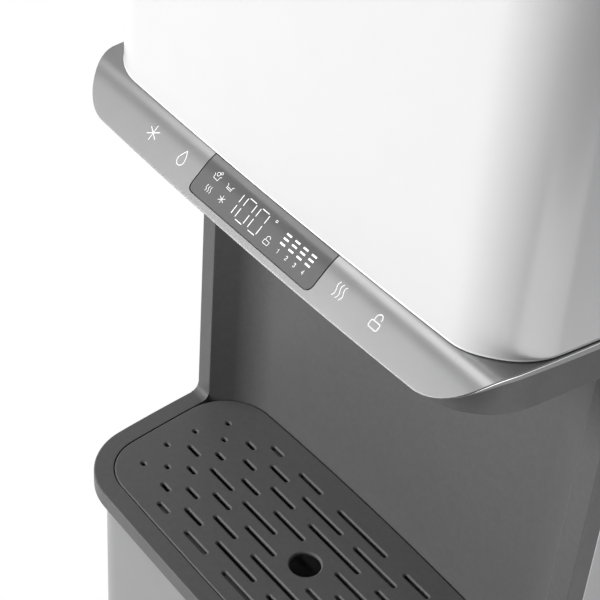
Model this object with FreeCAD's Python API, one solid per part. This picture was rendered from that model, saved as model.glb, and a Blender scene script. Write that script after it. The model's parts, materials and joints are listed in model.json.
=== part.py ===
import FreeCAD, Part
import math
import os

Vector = FreeCAD.Vector
X_AXIS = Vector(1, 0, 0)
Y_AXIS = Vector(0, 1, 0)
Z_AXIS = Vector(0, 0, 1)

# Floor-standing hot and cold water dispenser. Millimetres, Z up, X to the right as the user faces it,
# Y from the user to the wall. The origin is on the floor under the middle of the machine.
# "depth" of a piece is counted from the foremost edge, the rim of the drip platform.

# Driving sizes of the whole machine
overall_depth = 352.0
overall_height = 1160.0
half_width = 150.0
tray_height = 700.0
front_bow_radius = 5093.0
side_bow_radius = 1239.0
flat_back_radius = 20000.0
back_depth = 348.4
back_corner_radius = 30.0
fit_gap = 0.4
sheet = 1.6
moulding = 2.5

# Drip platform and recess
rim_width = 11.2
rim_height = 10.2
rim_corner_radius = 38.4
grille_back_depth = 118.6
grille_back_corner_radius = 31.7
recess_back_radius = 2130.0
recess_height = 229.1
post_front_depth = 94.6
post_back_depth = 105.2
foot_fillet = 5.0

# Head
band_half_width = 151.2
band_front_depth = 7.4
band_corner_radius = 31.6
band_lip_height = 239.5
band_slope_deg = 43.2
band_shelf_height = 257.4
band_roll_radius = 20.0
band_thickness = 2.2
shadow_gap = 0.6
flange_half_width = 150.9
flange_front_depth = 11.0
flange_corner_radius = 28.0
flange_drop = 5.0
flange_thickness = 1.8
flange_back_depth = 316.0
skirt_half_width = 146.7
skirt_front_depth = 16.2
skirt_corner_radius = 37.2
housing_half_width = 150.2
housing_front_depth = 25.4
housing_corner_radius = 32.9
housing_gap = 0.8
window_half_length = 44.0
window_low_height = 243.3
window_high_height = 255.6
window_corner_radius = 3.0
board_low_run = 10.5
board_high_run = 20.5
board_half_length = 96.0
board_gap = 0.2
nozzle_neck_radius = 17.0
nozzle_flange_radius = 20.0
nozzle_bore_radius = 5.0
duct_half_width = 60.0
duct_front_depth = 180.0
duct_back_depth = 300.0
floor_rib_depth = 108.0
floor_rib_height = 12.0
lid_thickness = 4.0
lid_edge_radius = 3.0
lid_rib_height = 8.0

# Lower body
lower_inset = 7.1
base_top = 75.0
base_floor = 12.0
base_wall = 4.0
plinth_inset = 9.0
door_bottom = 78.0
door_seam_depth = 55.0
hinge_depth = 50.0
hinge_spine_radius = 5.0
hinge_pin_radius = 2.5
hinge_hole_radius = 2.56
hinge_plate_radius = 4.5
catch_front = 49.0
catch_low = 342.0
catch_high = 398.0
bay_back_depth = 98.0
bay_half_width = 121.0
bay_top = 664.0

# Filters
filter_count = 4
filter_spacing = 59.0
filter_radius = 27.0
filter_depth = 58.0
filter_bottom = 282.0
manifold_bottom = 594.0
manifold_height = 42.0
spigot_radius = 11.0
spigot_hole_radius = 11.06
neck_radius = 16.0
cup_bore_radius = 17.0

# Drip grille
slot_width = 3.0
row_pitch = 9.86
centre_row_depth = 62.1
cup_mark_radius = 8.7
grille_thickness = 2.8
tray_seat_drop = 5.5
well_inset = 9.0
well_depth = 19.9
basin_inset = 12.9
basin_corner_radius = 34.0

# Rear
rear_plate_half_width = 108.0
rear_opening_half_width = 95.0
rear_split_height = 200.0
rear_joint_gap = 0.4
rear_corner_radius = 8.0
rear_slot_half_length = 34.0
rear_slot_middle = 44.0
rear_slot_height = 6.0
rear_slot_levels = [*range(260, 420, 20), *range(480, 900, 20), *range(1000, 1100, 20)]
screw_x = 101.5
screw_levels = (84, 188, 212, 440, 660, 880, 1120)
screw_radius = 2.0
screw_hole_radius = 2.3
screw_head_radius = 4.2
screw_head_height = 2.0
pocket_half_width = 80.0
pocket_low = 96.0
pocket_high = 196.0
pocket_reach = 30.0
pocket_seat = 2.0
plate_play = 0.2
fitting_x = (-56.0, -28.0)
fitting_height = 122.0
fitting_radius = 8.0
fitting_collar_radius = 11.0
tube_radius = 3.25
switch_height = 165.0
switch_half_width = 6.8
switch_half_height = 12.8
rocker_axle_radius = 1.3
rocker_rest_deg = 8.0
socket_x = 33.0
socket_height = 146.0

# Booster pump and inlet valve, lying in the bay under the cartridges
pump_height = 136.0
pump_motor_x = -96.0
pump_motor_length = 92.0
pump_motor_radius = 29.0
pump_face_x = -4.0
pump_face_thickness = 26.0
pump_face_half = 33.0
port_radius = 6.5
cradle_wall = 12.0
valve_x = 82.0
valve_port_height = 95.0

# Cooling circuit and tanks
compressor_x = -42.0
compressor_depth = 236.0
compressor_plate_low = 56.0
compressor_plate_thickness = 4.0
mount_low = 40.0
mount_reach = (68.0, 48.0)
coil_tube_radius = 2.4
coil_pitch = 44.0
coil_passes = 9
coil_half_width = 78.0
coil_depth = 330.0
coil_low = 290.0
strap_width = 8.0
strap_thickness = 1.5
frame_post_x = 118.0
frame_back_post_depth = 299.0
frame_sheet = 2.0
shelf_top = 638.4
shelf_half_width = 128.0
shelf_front_depth = 114.0
shelf_back_depth = 317.0
shelf_lip = 14.0
cold_tank_x = 72.0
cold_tank_depth = 222.0
cold_tank_radius = 44.0
cold_tank_length = 180.0
jacket_radius = 60.0
jacket_wall = 15.0
pure_tank_height = 260.0
cap_x = -48.0
cap_depth = 218.0

# Pieces in the head
heater_height = 1010.0
heater_depth = 150.0
heater_radius = 24.0
heater_half_length = 60.0
heater_fins = 7
heater_fin_pitch = 16.0
heater_foot_half_depth = 22.0
pump_x = 88.0
pump_depth = 180.0
board_depth = 237.0
board_half_width = 70.0
board_low = 975.0
board_high = 1095.0
carrier_half_width = 78.0

# Feet
foot_radius = 17.0
foot_x = 100.0
foot_front_depth = 60.0
foot_back_depth = 300.0

# Reach of cutters that pass right through the machine
wide = 200.0
deep = 400.0


def from_front(depth):
    return depth - overall_depth / 2


def above_tray(height):
    return tray_height + height


def mid_direction(start, end, centre):
    direction = (start - centre).normalize() + (end - centre).normalize()
    return direction.normalize()


def arc_between(start, end, centre, radius):
    middle = centre + mid_direction(start, end, centre) * radius
    return Part.Arc(start, middle, end).toShape()


def corner_centre(first, first_radius, second, second_radius, radius, toward):
    # Centre of the small arc that touches two large arcs from inside
    reach_first = first_radius - radius
    reach_second = second_radius - radius
    between = second - first
    gap = between.Length
    along = (reach_first ** 2 - reach_second ** 2 + gap ** 2) / (2 * gap)
    across = math.sqrt(reach_first ** 2 - along ** 2)
    unit = between * (1 / gap)
    normal = Vector(-unit.y, unit.x, 0)
    options = [first + unit * along + normal * across * side for side in (1, -1)]
    return max(options, key=lambda point: point.x + toward * point.y)


class Outline:
    # Plan of a shell: bowed front, sides and back, with rounded corners that run on without a kink
    def __init__(self, half, front, back, front_corner, back_corner, back_radius=flat_back_radius,
                 front_radius=front_bow_radius, side_radius=side_bow_radius):
        self.half = half
        self.front = front
        self.back = back
        self.front_corner = front_corner
        self.back_corner = back_corner
        self.back_radius = back_radius
        self.front_radius = front_radius
        self.side_radius = side_radius

    def inset(self, amount, back_amount=None):
        back_amount = amount if back_amount is None else back_amount
        return Outline(self.half - amount, self.front + amount, self.back - back_amount,
                       max(self.front_corner - amount, 2.0), max(self.back_corner - amount, 2.0),
                       self.back_radius - back_amount, self.front_radius - amount,
                       self.side_radius - amount)

    def wire(self, height):
        front_centre = Vector(0, from_front(self.front) + self.front_radius, 0)
        side_centre = Vector(self.half - self.side_radius, 0, 0)
        back_centre = Vector(0, from_front(self.back) - self.back_radius, 0)
        low_corner = corner_centre(front_centre, self.front_radius, side_centre, self.side_radius,
                                   self.front_corner, -1)
        high_corner = corner_centre(back_centre, self.back_radius, side_centre, self.side_radius,
                                    self.back_corner, 1)

        def touch(centre, radius, corner):
            return centre + (corner - centre).normalize() * radius

        front_end = touch(front_centre, self.front_radius, low_corner)
        side_start = touch(side_centre, self.side_radius, low_corner)
        side_end = touch(side_centre, self.side_radius, high_corner)
        back_end = touch(back_centre, self.back_radius, high_corner)

        def mirrored(point):
            return Vector(-point.x, point.y, point.z)

        edges = [
            arc_between(mirrored(front_end), front_end, front_centre, self.front_radius),
            arc_between(front_end, side_start, low_corner, self.front_corner),
            arc_between(side_start, side_end, side_centre, self.side_radius),
            arc_between(side_end, back_end, high_corner, self.back_corner),
            arc_between(back_end, mirrored(back_end), back_centre, self.back_radius),
            arc_between(mirrored(back_end), mirrored(side_end), mirrored(high_corner), self.back_corner),
            arc_between(mirrored(side_end), mirrored(side_start), mirrored(side_centre), self.side_radius),
            arc_between(mirrored(side_start), mirrored(front_end), mirrored(low_corner), self.front_corner),
        ]
        wire = Part.Wire(edges)
        wire.translate(Vector(0, 0, height))
        return wire

    def prism(self, low, high):
        return Part.Face(self.wire(low)).extrude(Vector(0, 0, high - low))

    def ring(self, thickness, low, high):
        return self.prism(low, high).cut(self.inset(thickness).prism(low - 1, high + 1))

    def side_x(self, depth):
        # Half width of the bowed side at a depth
        centre = self.half - self.side_radius
        return centre + math.sqrt(self.side_radius ** 2 - from_front(depth) ** 2)


def block(x_low, x_high, depth_low, depth_high, z_low, z_high):
    return Part.makeBox(x_high - x_low, depth_high - depth_low, z_high - z_low,
                        Vector(x_low, from_front(depth_low), z_low))


def across(depth_low, depth_high, z_low, z_high):
    # Block over the whole width, for cutting and for keeping a part of a shell
    return block(-wide, wide, depth_low, depth_high, z_low, z_high)


def one_side(side, z_low, z_high):
    # Everything on one side of the middle
    return block(0, wide, -10, deep, z_low, z_high) if side > 0 else block(-wide, 0, -10, deep, z_low,
                                                                           z_high)


def rod(x, depth, z_low, z_high, radius):
    return Part.makeCylinder(radius, z_high - z_low, Vector(x, from_front(depth), z_low), Z_AXIS)


def rod_back(x, depth, z, length, radius):
    # Round bar whose axis runs toward the wall
    return Part.makeCylinder(radius, length, Vector(x, from_front(depth), z), Y_AXIS)


def rod_across(x, depth, z, length, radius):
    return Part.makeCylinder(radius, length, Vector(x, from_front(depth), z), X_AXIS)


def fused(shapes):
    result = shapes[0]
    for shape in shapes[1:]:
        result = result.fuse(shape)
    return result.removeSplitter()


def cut_all(shape, tools):
    for tool in tools:
        shape = shape.cut(tool)
    return shape


def turned(points, x, depth, z):
    # Solid of revolution about an upright axis, from (radius, height) points
    profile = [Vector(radius, 0, height) for radius, height in points]
    wire = Part.makePolygon(profile + [profile[0]])
    solid = Part.Face(wire).revolve(Vector(0, 0, 0), Z_AXIS, 360)
    solid.translate(Vector(x, from_front(depth), z))
    return solid


def bar_across(points, x_low, x_high):
    # Bar along X with a section of (depth, height) points
    section = [Vector(x_low, from_front(depth), z) for depth, z in points]
    return Part.Face(Part.makePolygon(section + [section[0]])).extrude(Vector(x_high - x_low, 0, 0))


def upright_bar(points, z_low, z_high):
    # Upright bar with a plan of (x, depth) points
    plan = [Vector(x, from_front(depth), z_low) for x, depth in points]
    return Part.Face(Part.makePolygon(plan + [plan[0]])).extrude(Vector(0, 0, z_high - z_low))


def softened(solid, axis, radius):
    # Rounds the edges that run along an axis
    edges = [edge for edge in solid.Edges if abs(edge.tangentAt(edge.FirstParameter).dot(axis)) > 0.99]
    return solid.makeFillet(radius, edges)


def rounded_block(x_low, x_high, depth_low, depth_high, z_low, z_high, radius):
    # Block with rounded upright edges
    return softened(block(x_low, x_high, depth_low, depth_high, z_low, z_high), Z_AXIS, radius)


def slot(x_low, x_high, depth, z_low, z_high, width):
    # Upright cutter with round ends; a slot no longer than its width is a round hole
    radius = width / 2
    if x_high - x_low <= width:
        return rod((x_low + x_high) / 2, depth, z_low, z_high, radius)
    y = from_front(depth)
    left = x_low + radius
    right = x_high - radius
    edges = [
        Part.LineSegment(Vector(left, y - radius, z_low), Vector(right, y - radius, z_low)).toShape(),
        Part.Arc(Vector(right, y - radius, z_low), Vector(x_high, y, z_low),
                 Vector(right, y + radius, z_low)).toShape(),
        Part.LineSegment(Vector(right, y + radius, z_low), Vector(left, y + radius, z_low)).toShape(),
        Part.Arc(Vector(left, y + radius, z_low), Vector(x_low, y, z_low),
                 Vector(left, y - radius, z_low)).toShape(),
    ]
    return Part.Face(Part.Wire(edges)).extrude(Vector(0, 0, z_high - z_low))


# Plans shared by several pieces
rim_plan = Outline(half_width, 0.0, back_depth, rim_corner_radius, back_corner_radius)
grille_plan = Outline(half_width - rim_width, rim_width, grille_back_depth, rim_corner_radius - rim_width,
                      grille_back_corner_radius, recess_back_radius,
                      front_bow_radius - rim_width, side_bow_radius - rim_width)
lower_plan = rim_plan.inset(lower_inset, 0.0)
band_plan = Outline(band_half_width, band_front_depth, back_depth, band_corner_radius, back_corner_radius)
skirt_plan = Outline(skirt_half_width, skirt_front_depth, back_depth, skirt_corner_radius,
                     back_corner_radius)
flange_plan = Outline(flange_half_width, flange_front_depth, back_depth, flange_corner_radius,
                      back_corner_radius)
housing_plan = Outline(housing_half_width, housing_front_depth, back_depth, housing_corner_radius,
                       back_corner_radius)

hinge_x = -(lower_plan.side_x(hinge_depth) - hinge_spine_radius)
catch_x = lower_plan.side_x(hinge_depth)
filter_places = [(index - (filter_count - 1) / 2) * filter_spacing for index in range(filter_count)]


def band_profile(drop):
    # Side view of the panel's skin, moved inward by drop: straight face, roll-over, level shelf
    slope = math.radians(band_slope_deg)
    tangent = band_roll_radius * math.tan(slope / 2)
    reach = (band_shelf_height - band_lip_height) / math.tan(slope)
    bend_depth = band_front_depth + reach
    roll = Vector(0, from_front(bend_depth + tangent), above_tray(band_shelf_height) - band_roll_radius)
    radius = band_roll_radius - drop
    face_end = roll + Vector(0, -math.sin(slope), math.cos(slope)) * radius
    shelf_start = roll + Vector(0, 0, radius)
    middle = roll + Vector(0, -math.sin(slope / 2), math.cos(slope / 2)) * radius
    run = 40.0
    foot = face_end - Vector(0, math.cos(slope), math.sin(slope)) * run
    back = Vector(0, overall_depth, shelf_start.z)
    return foot, face_end, middle, shelf_start, back


def under_band(drop):
    # Everything below the panel's skin, as one long block
    foot, face_end, middle, shelf_start, back = band_profile(drop)
    floor = above_tray(0)
    edges = [
        Part.LineSegment(foot, face_end).toShape(),
        Part.Arc(face_end, middle, shelf_start).toShape(),
        Part.LineSegment(shelf_start, back).toShape(),
        Part.LineSegment(back, Vector(0, back.y, floor)).toShape(),
        Part.LineSegment(Vector(0, back.y, floor), Vector(0, foot.y, floor)).toShape(),
        Part.LineSegment(Vector(0, foot.y, floor), foot).toShape(),
    ]
    face = Part.Face(Part.Wire(edges))
    face.translate(Vector(-wide, 0, 0))
    return face.extrude(Vector(2 * wide, 0, 0))


def make_niche_liner():
    # Platform rim, side posts and concave back wall, moulded as one
    top = above_tray(0)
    recess_top = above_tray(recess_height)
    skirt_below = 8.0
    wall_plan = grille_plan.inset(-moulding)
    inner_rim = rim_plan.inset(moulding)
    rim_band = rim_plan.prism(top - rim_height, top).cut(inner_rim.prism(top - rim_height - 1,
                                                                         top - moulding))
    posts = rim_plan.prism(top, recess_top).cut(inner_rim.prism(top - 1, recess_top + 1))
    post_face = rim_plan.inset(0.5).prism(top - moulding, recess_top)
    post_face = post_face.common(across(post_front_depth, post_front_depth + moulding, 0, overall_height))
    wall = wall_plan.prism(top - skirt_below, recess_top)
    post_zone = across(post_front_depth, post_back_depth, 0, overall_height)
    platform_zone = across(-10, post_back_depth, 0, top)
    wall_zone = across(post_front_depth, wide, top - skirt_below, overall_height).fuse(across(-10, wide, 0,
                                                                                              top))
    shell = fused([
        rim_band.common(platform_zone),
        posts.common(post_zone),
        post_face,
        wall.common(wall_zone),
        make_post_feet(top),
    ])
    shell = shell.cut(grille_plan.prism(top - tray_seat_drop, recess_top + 1))
    return shell.cut(grille_plan.inset(well_inset + moulding).prism(top - rim_height, top))


def make_post_feet(top):
    # Small curve where the platform turns up into each side post
    start = post_front_depth - foot_fillet
    corner = across(start, post_front_depth + 0.5, top - 0.5, top + foot_fillet)
    scoop = rod_across(-wide, start, top + foot_fillet, 2 * wide, foot_fillet)
    return corner.cut(scoop).common(rim_plan.prism(top - 1, top + foot_fillet))


def make_tray_well():
    # Tub that hangs under the platform and catches what runs past the tray
    high = above_tray(-tray_seat_drop) - moulding - 0.1
    low = high - well_depth
    flange_width = 2.5
    tub_plan = grille_plan.inset(well_inset)
    tub = tub_plan.prism(low, high)
    flange = grille_plan.inset(well_inset - flange_width).prism(high - 2.0, high)
    hollow = tub_plan.inset(moulding).prism(low + moulding, high + 1)
    return fused([tub, flange]).cut(hollow)


def make_drip_tray():
    # Shallow basin with well rounded corners, resting by its flange on the platform's inner ledge
    top = above_tray(0)
    basin_low = top - 24.0
    wall = 2.0
    edge_play = 0.8
    basin_plan = Outline(grille_plan.half - basin_inset, grille_plan.front + basin_inset,
                         grille_plan.back - basin_inset, basin_corner_radius, basin_corner_radius,
                         recess_back_radius, front_bow_radius, side_bow_radius)
    flange = grille_plan.inset(edge_play).prism(top - tray_seat_drop, top - grille_thickness)
    basin = basin_plan.prism(basin_low, top - 5.0)
    inner = basin_plan.inset(wall).prism(basin_low + wall, top)
    return fused([flange, basin]).cut(inner)


def grille_rows():
    # Left halves of the slot rows, as distances from the middle; each row is mirrored left to right
    outer = [(72.6, 82.0), (36.3, 55.7), (-20.6, 20.6)]
    second = [(110.6, 113.6), (86.2, 93.2), (54.9, 69.9), (5.9, 39.9)]
    third = [(100.9, 103.9), (72.7, 82.4), (36.3, 56.1), (-21.4, 21.4)]
    fourth = [(115.9, 118.9), (89.2, 95.9), (55.8, 70.6), (14.4, 40.2)]
    middle = [(99.6, 109.6), (66.9, 87.2), (26.9, 55.8)]
    return {-4: outer, -3: second, -2: third, -1: fourth, 0: middle, 1: fourth, 2: third, 3: second,
            4: outer}


def make_drip_grille():
    top = above_tray(0)
    plate = grille_plan.inset(fit_gap).prism(top - grille_thickness, top)
    cutters = [rod(0, centre_row_depth, top - 10, top + 10, cup_mark_radius)]
    for row, slots in grille_rows().items():
        depth = centre_row_depth + row * row_pitch
        for near, far in slots:
            sides = (1,) if near < 0 else (1, -1)
            for side in sides:
                low = min(near * side, far * side)
                high = max(near * side, far * side)
                cutters.append(slot(low, high, depth, top - 10, top + 10, slot_width))
    return plate.cut(Part.makeCompound(cutters))


def make_head_lower_casing():
    # Dark casing under the head: floor with an upturned skirt, a duct to the column and a stiffening rib
    low = above_tray(recess_height)
    floor = low + moulding
    skirt = skirt_plan.prism(low, low + 60).common(under_band(band_thickness + shadow_gap))
    casing = skirt.cut(skirt_plan.inset(moulding).prism(floor, low + 80))
    rib = block(-110, 110, floor_rib_depth, floor_rib_depth + moulding, floor - 0.5,
                floor + floor_rib_height)
    duct = rounded_block(-duct_half_width, duct_half_width, duct_front_depth, duct_back_depth, low - 1,
                         floor + 1, 8.0)
    nozzle_opening = rod(0, centre_row_depth, low - 1, floor + 1, nozzle_neck_radius + 0.3)
    return cut_all(fused([casing, rib]), [duct, nozzle_opening, board_slab(0.5)])


def make_control_band():
    # Sloped panel that wraps the head; its face is one straight section that runs out over the corners,
    # and a flange turned down under its edge lies back from the lip in front and close to it at the sides
    low = above_tray(0)
    skin = band_plan.prism(low + 200, low + 300).common(under_band(0)).cut(under_band(band_thickness))
    flange = flange_plan.ring(flange_thickness, low + 200,
                              low + 300).common(under_band(band_thickness - 0.6))
    flange = flange.cut(under_band(flange_drop)).common(across(0, flange_back_depth, 0, overall_height))
    band = fused([skin, flange])
    band = band.cut(housing_plan.inset(12.0).prism(low + 100, low + 400))
    band = band.cut(block(-rear_opening_half_width, rear_opening_half_width, 300, deep, low, low + 400))
    return band.cut(window_block(0.25))


def across_slope(low_run, high_run, above, below, half):
    # Slab that lies along the panel's face, from one run up the slope to another
    slope = math.radians(band_slope_deg)
    lip = Vector(0, from_front(band_front_depth), above_tray(band_lip_height))
    along = Vector(0, math.cos(slope), math.sin(slope))
    normal = Vector(0, -math.sin(slope), math.cos(slope))
    corners = [
        lip + along * low_run + normal * above,
        lip + along * high_run + normal * above,
        lip + along * high_run + normal * below,
        lip + along * low_run + normal * below,
    ]
    face = Part.Face(Part.makePolygon(corners + [corners[0]]))
    face.translate(Vector(-half, 0, 0))
    return face.extrude(Vector(2 * half, 0, 0)), lip, along, normal


def window_block(clearance):
    # Room of the window in the panel; its two lower corners are rounded
    slope = math.radians(band_slope_deg)
    low_run = (window_low_height - band_lip_height) / math.sin(slope) - clearance
    high_run = (window_high_height - band_lip_height) / math.sin(slope) + clearance
    solid, lip, along, normal = across_slope(low_run, high_run, 6.0, -6.0, window_half_length + clearance)
    middle_run = (low_run + high_run) / 2
    low_edges = [edge for edge in solid.Edges
                 if abs(edge.tangentAt(edge.FirstParameter).dot(normal)) > 0.99
                 and (edge.CenterOfMass - lip).dot(along) < middle_run]
    return solid.makeFillet(window_corner_radius, low_edges)


def make_display_window():
    # Tinted lens let flush into the panel
    return window_block(0.0).common(under_band(0)).cut(under_band(band_thickness))


def board_slab(clearance):
    near = -(band_thickness + board_gap) + clearance
    far = -(band_thickness + board_gap + sheet) - clearance
    return across_slope(board_low_run - clearance, board_high_run + clearance, near, far,
                        board_half_length + clearance)[0]


def make_touch_board():
    # Display and touch circuit board, bonded behind the sloped face
    return board_slab(0.0)


def make_upper_housing():
    # Bright outer shell of the head, open at the top, bottom and middle of the back;
    # its lower edge keeps an even gap above the panel
    low = above_tray(band_lip_height)
    shell = housing_plan.ring(moulding, low, overall_height - lid_thickness).cut(under_band(-housing_gap))
    return shell.cut(block(-rear_opening_half_width, rear_opening_half_width, 300, deep, 0, overall_height))


def make_top_cover():
    # Lid with a rolled edge and a locating rib inside the shell
    top = overall_height
    low = top - lid_thickness
    plate = housing_plan.prism(low, top)
    rim_edges = [edge for edge in plate.Edges
                 if abs(edge.BoundBox.ZMin - top) < 0.01 and abs(edge.BoundBox.ZMax - top) < 0.01]
    plate = plate.makeFillet(lid_edge_radius, rim_edges)
    rib = housing_plan.inset(moulding + fit_gap).ring(moulding, low - lid_rib_height, low + 1.0)
    rib = rib.cut(block(-rear_plate_half_width, rear_plate_half_width, 300, deep, 0, overall_height + 10))
    return fused([plate, rib])


def side_cover(plan, low, high, front, side):
    # Formed sheet that covers one flank and wraps round to the back
    shell = plan.ring(sheet, low, high).common(across(front, deep, low, high))
    shell = shell.cut(block(-rear_opening_half_width, rear_opening_half_width, 300, deep, low - 1,
                            high + 1))
    return shell.common(one_side(side, low - 1, high + 1))


def make_column_side(side):
    # Upper flank beside the recess, with an inward ledge that closes the step to the lower body
    low = above_tray(-rim_height)
    high = above_tray(recess_height)
    front = post_back_depth + fit_gap
    ledge_width = lower_inset + 6.0
    ledge_back = 340.0
    shell = side_cover(rim_plan, low, high, front, side)
    ledge = rim_plan.prism(low, low + sheet).cut(rim_plan.inset(ledge_width, 0.0).prism(low - 1, low + 3))
    ledge = ledge.common(across(front, ledge_back, low, low + 3)).common(one_side(side, low, low + 3))
    return fused([shell, ledge])


def make_lower_side(side):
    # Lower flank with a short return beside the door
    low = base_top
    high = above_tray(-rim_height)
    front = door_seam_depth + 2.0
    return_width = 7.0
    shell = side_cover(lower_plan, low, high, front, side)
    flange = lower_plan.inset(0.4).ring(return_width, low, high).common(across(front, front + sheet, low,
                                                                               high))
    return fused([shell, flange.common(one_side(side, low - 1, high + 1))])


def make_front_door():
    # Bowed door with turned-in edges, a round spine on the hinge side and a rib for the catch
    low = door_bottom
    high = above_tray(-rim_height) - 0.6
    edge_width = 9.0
    pin_reach = 16.0
    shell = lower_plan.ring(moulding, low, high).common(across(-10, door_seam_depth, low, high))
    past_axis = block(-wide, 0, hinge_depth, 100, low - 1, high + 1)
    shell = shell.cut(past_axis)
    edge_plan = lower_plan.inset(1.0)
    edge_zone = across(-10, hinge_depth - 6.0, low, high)
    top_edge = edge_plan.ring(edge_width, high - moulding, high).common(edge_zone)
    bottom_edge = edge_plan.ring(edge_width, low, low + moulding).common(edge_zone)
    spine = rod(hinge_x, hinge_depth, low, high, hinge_spine_radius)
    catch_rib = block(catch_x - 20.0, catch_x - 1.0, catch_front - moulding, catch_front, catch_low - 12.0,
                      catch_high + 12.0)
    door = fused([shell, top_edge, bottom_edge, spine, catch_rib])
    bores = [
        rod(hinge_x, hinge_depth, low - 1, low + pin_reach, hinge_hole_radius),
        rod(hinge_x, hinge_depth, high - pin_reach, high + 1, hinge_hole_radius),
    ]
    return cut_all(door, bores)


def make_hinge_pin_top():
    # Pin with a round plate, fixed under the platform
    ledge = above_tray(-8.0)
    return fused([rod(hinge_x, hinge_depth, ledge - 1.5, ledge, hinge_plate_radius),
                  rod(hinge_x, hinge_depth, ledge - 16.0, ledge, hinge_pin_radius)])


def make_hinge_pin_bottom():
    return fused([rod(hinge_x, hinge_depth, base_top, base_top + 2.0, hinge_plate_radius),
                  rod(hinge_x, hinge_depth, base_top, base_top + 14.0, hinge_pin_radius)])


def make_door_strike():
    # Steel plate that the magnet holds
    return block(catch_x - 18.0, catch_x - 6.0, catch_front, catch_front + 1.5, catch_low + 3.0,
                 catch_high - 3.0)


def make_door_magnet():
    # Magnet case on the bay's flange, with two pole plates toward the strike
    case = block(catch_x - 19.0, catch_x - 8.0, 52.8, 60.0, catch_low, catch_high)
    poles = [block(catch_x - 16.5, catch_x - 10.5, 50.9, 53.0, z, z + 3.0)
             for z in (catch_low + 10.0, catch_high - 13.0)]
    return fused([softened(case, X_AXIS, 1.5)] + poles)


def make_filter_bay():
    # Open-fronted compartment behind the door, with a flange that meets the flanks
    low = base_top
    front = 60.0
    bay = block(-bay_half_width - moulding, bay_half_width + moulding, front, bay_back_depth + moulding,
                low, bay_top)
    bay = bay.cut(block(-bay_half_width, bay_half_width, front - 10, bay_back_depth, low + moulding,
                        bay_top - moulding))
    flange_plan = lower_plan.inset(sheet + 0.5)
    flange = flange_plan.prism(low, bay_top).common(across(front, front + moulding, low, bay_top))
    flange = flange.cut(block(-bay_half_width, bay_half_width, front - 10, front + 10, low - 1,
                              bay_top - moulding))
    return fused([bay, flange])


def make_filter_manifold():
    # Head block that the four cartridges twist into, with an inlet and an outlet on top
    half = filter_places[-1] + filter_radius
    cup_drop = 8.0
    cup_radius = 20.0
    top = manifold_bottom + manifold_height
    body = rounded_block(-half, half, filter_depth - 21.0, bay_back_depth, manifold_bottom, top, 6.0)
    cups = [rod(x, filter_depth, manifold_bottom - cup_drop, manifold_bottom + 4.0, cup_radius)
            for x in filter_places]
    stubs = [rod(x, filter_depth + 12.0, top - 1, top + 14.0, port_radius)
             for x in (filter_places[0], filter_places[-1])]
    body = fused([body] + cups + stubs)
    bores = []
    for x in filter_places:
        bores.append(rod(x, filter_depth, manifold_bottom - 9.0, manifold_bottom + 20.0,
                         spigot_hole_radius))
        bores.append(rod(x, filter_depth, manifold_bottom - 9.0, manifold_bottom - 1.0, cup_bore_radius))
    return cut_all(body, bores)


def make_filter(x):
    # Quick-change cartridge: long canister, ribbed grip, domed shoulder, neck with two lugs, and spigot
    neck = manifold_bottom - filter_bottom
    radius = filter_radius
    profile = [
        (0, 0), (radius - 4.0, 0), (radius, 4.0), (radius, 30.0), (radius - 1.5, 33.0), (radius - 1.5,
                                                                                         36.0),
        (radius, 39.0), (radius, neck - 34.0), (radius - 3.0, neck - 24.0), (radius - 9.0, neck - 16.0),
        (neck_radius, neck - 13.0), (neck_radius, neck - 2.0), (spigot_radius, neck - 2.0),
        (spigot_radius, neck + 18.0), (0, neck + 18.0),
    ]
    body = turned(profile, x, filter_depth, filter_bottom)
    grip = block(x - 2.5, x + 2.5, filter_depth - radius + 1.0, filter_depth + radius - 1.0,
                 filter_bottom - 6.0,
                 filter_bottom + 1.0)
    grip = softened(grip, X_AXIS, 2.0)
    lug_top = manifold_bottom - 3.0
    lugs = rod(x, filter_depth, lug_top - 3.0, lug_top, neck_radius + 0.7)
    lugs = lugs.common(across(filter_depth - 5.0, filter_depth + 5.0, lug_top - 4.0, lug_top + 1.0))
    return fused([body, grip, lugs])


def make_pump_motor():
    # Booster pump's motor, lying along the bay, with a stepped end cap and two terminals
    end_x = pump_motor_x + pump_motor_length
    can = rod_across(pump_motor_x, filter_depth, pump_height, pump_motor_length, pump_motor_radius)
    cap = rod_across(pump_motor_x - 3.0, filter_depth, pump_height, 4.0, pump_motor_radius - 5.0)
    boss = rod_across(pump_motor_x - 6.0, filter_depth, pump_height, 4.0, 7.0)
    seam = cut_all(rod_across(end_x - 12.0, filter_depth, pump_height, 1.5, pump_motor_radius + 1),
                   [rod_across(end_x - 13.0, filter_depth, pump_height, 4.0, pump_motor_radius - 0.8)])
    tabs = [block(pump_motor_x - 10.0, pump_motor_x, filter_depth + side * 15.0 - 2.4,
                  filter_depth + side * 15.0 + 2.4,
                  pump_height - 0.4, pump_height + 0.4) for side in (1, -1)]
    return fused([can.cut(seam), cap, boss] + tabs)


def make_pump_head():
    # Diaphragm head: square face with rounded corners, three valve chambers and two quick-fit ports
    half = pump_face_half
    face = softened(block(pump_face_x, pump_face_x + pump_face_thickness, filter_depth - half,
                          filter_depth + half,
                          pump_height - half, pump_height + half), X_AXIS, 8.0)
    nose_x = pump_face_x + pump_face_thickness - 1.0
    nose = rod_across(nose_x, filter_depth, pump_height, 7.0, 24.0)
    chambers = []
    for turn in (90, 210, 330):
        angle = math.radians(turn)
        chambers.append(rod_across(nose_x, filter_depth + 12.0 * math.cos(angle),
                                   pump_height + 12.0 * math.sin(angle),
                                   14.0, 9.0))
    ports = [rod(pump_face_x + pump_face_thickness / 2, filter_depth + side * 18, pump_height + half - 1,
                 pump_height + half + 15.0, port_radius) for side in (1, -1)]
    return fused([face, nose] + chambers + ports)


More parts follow.
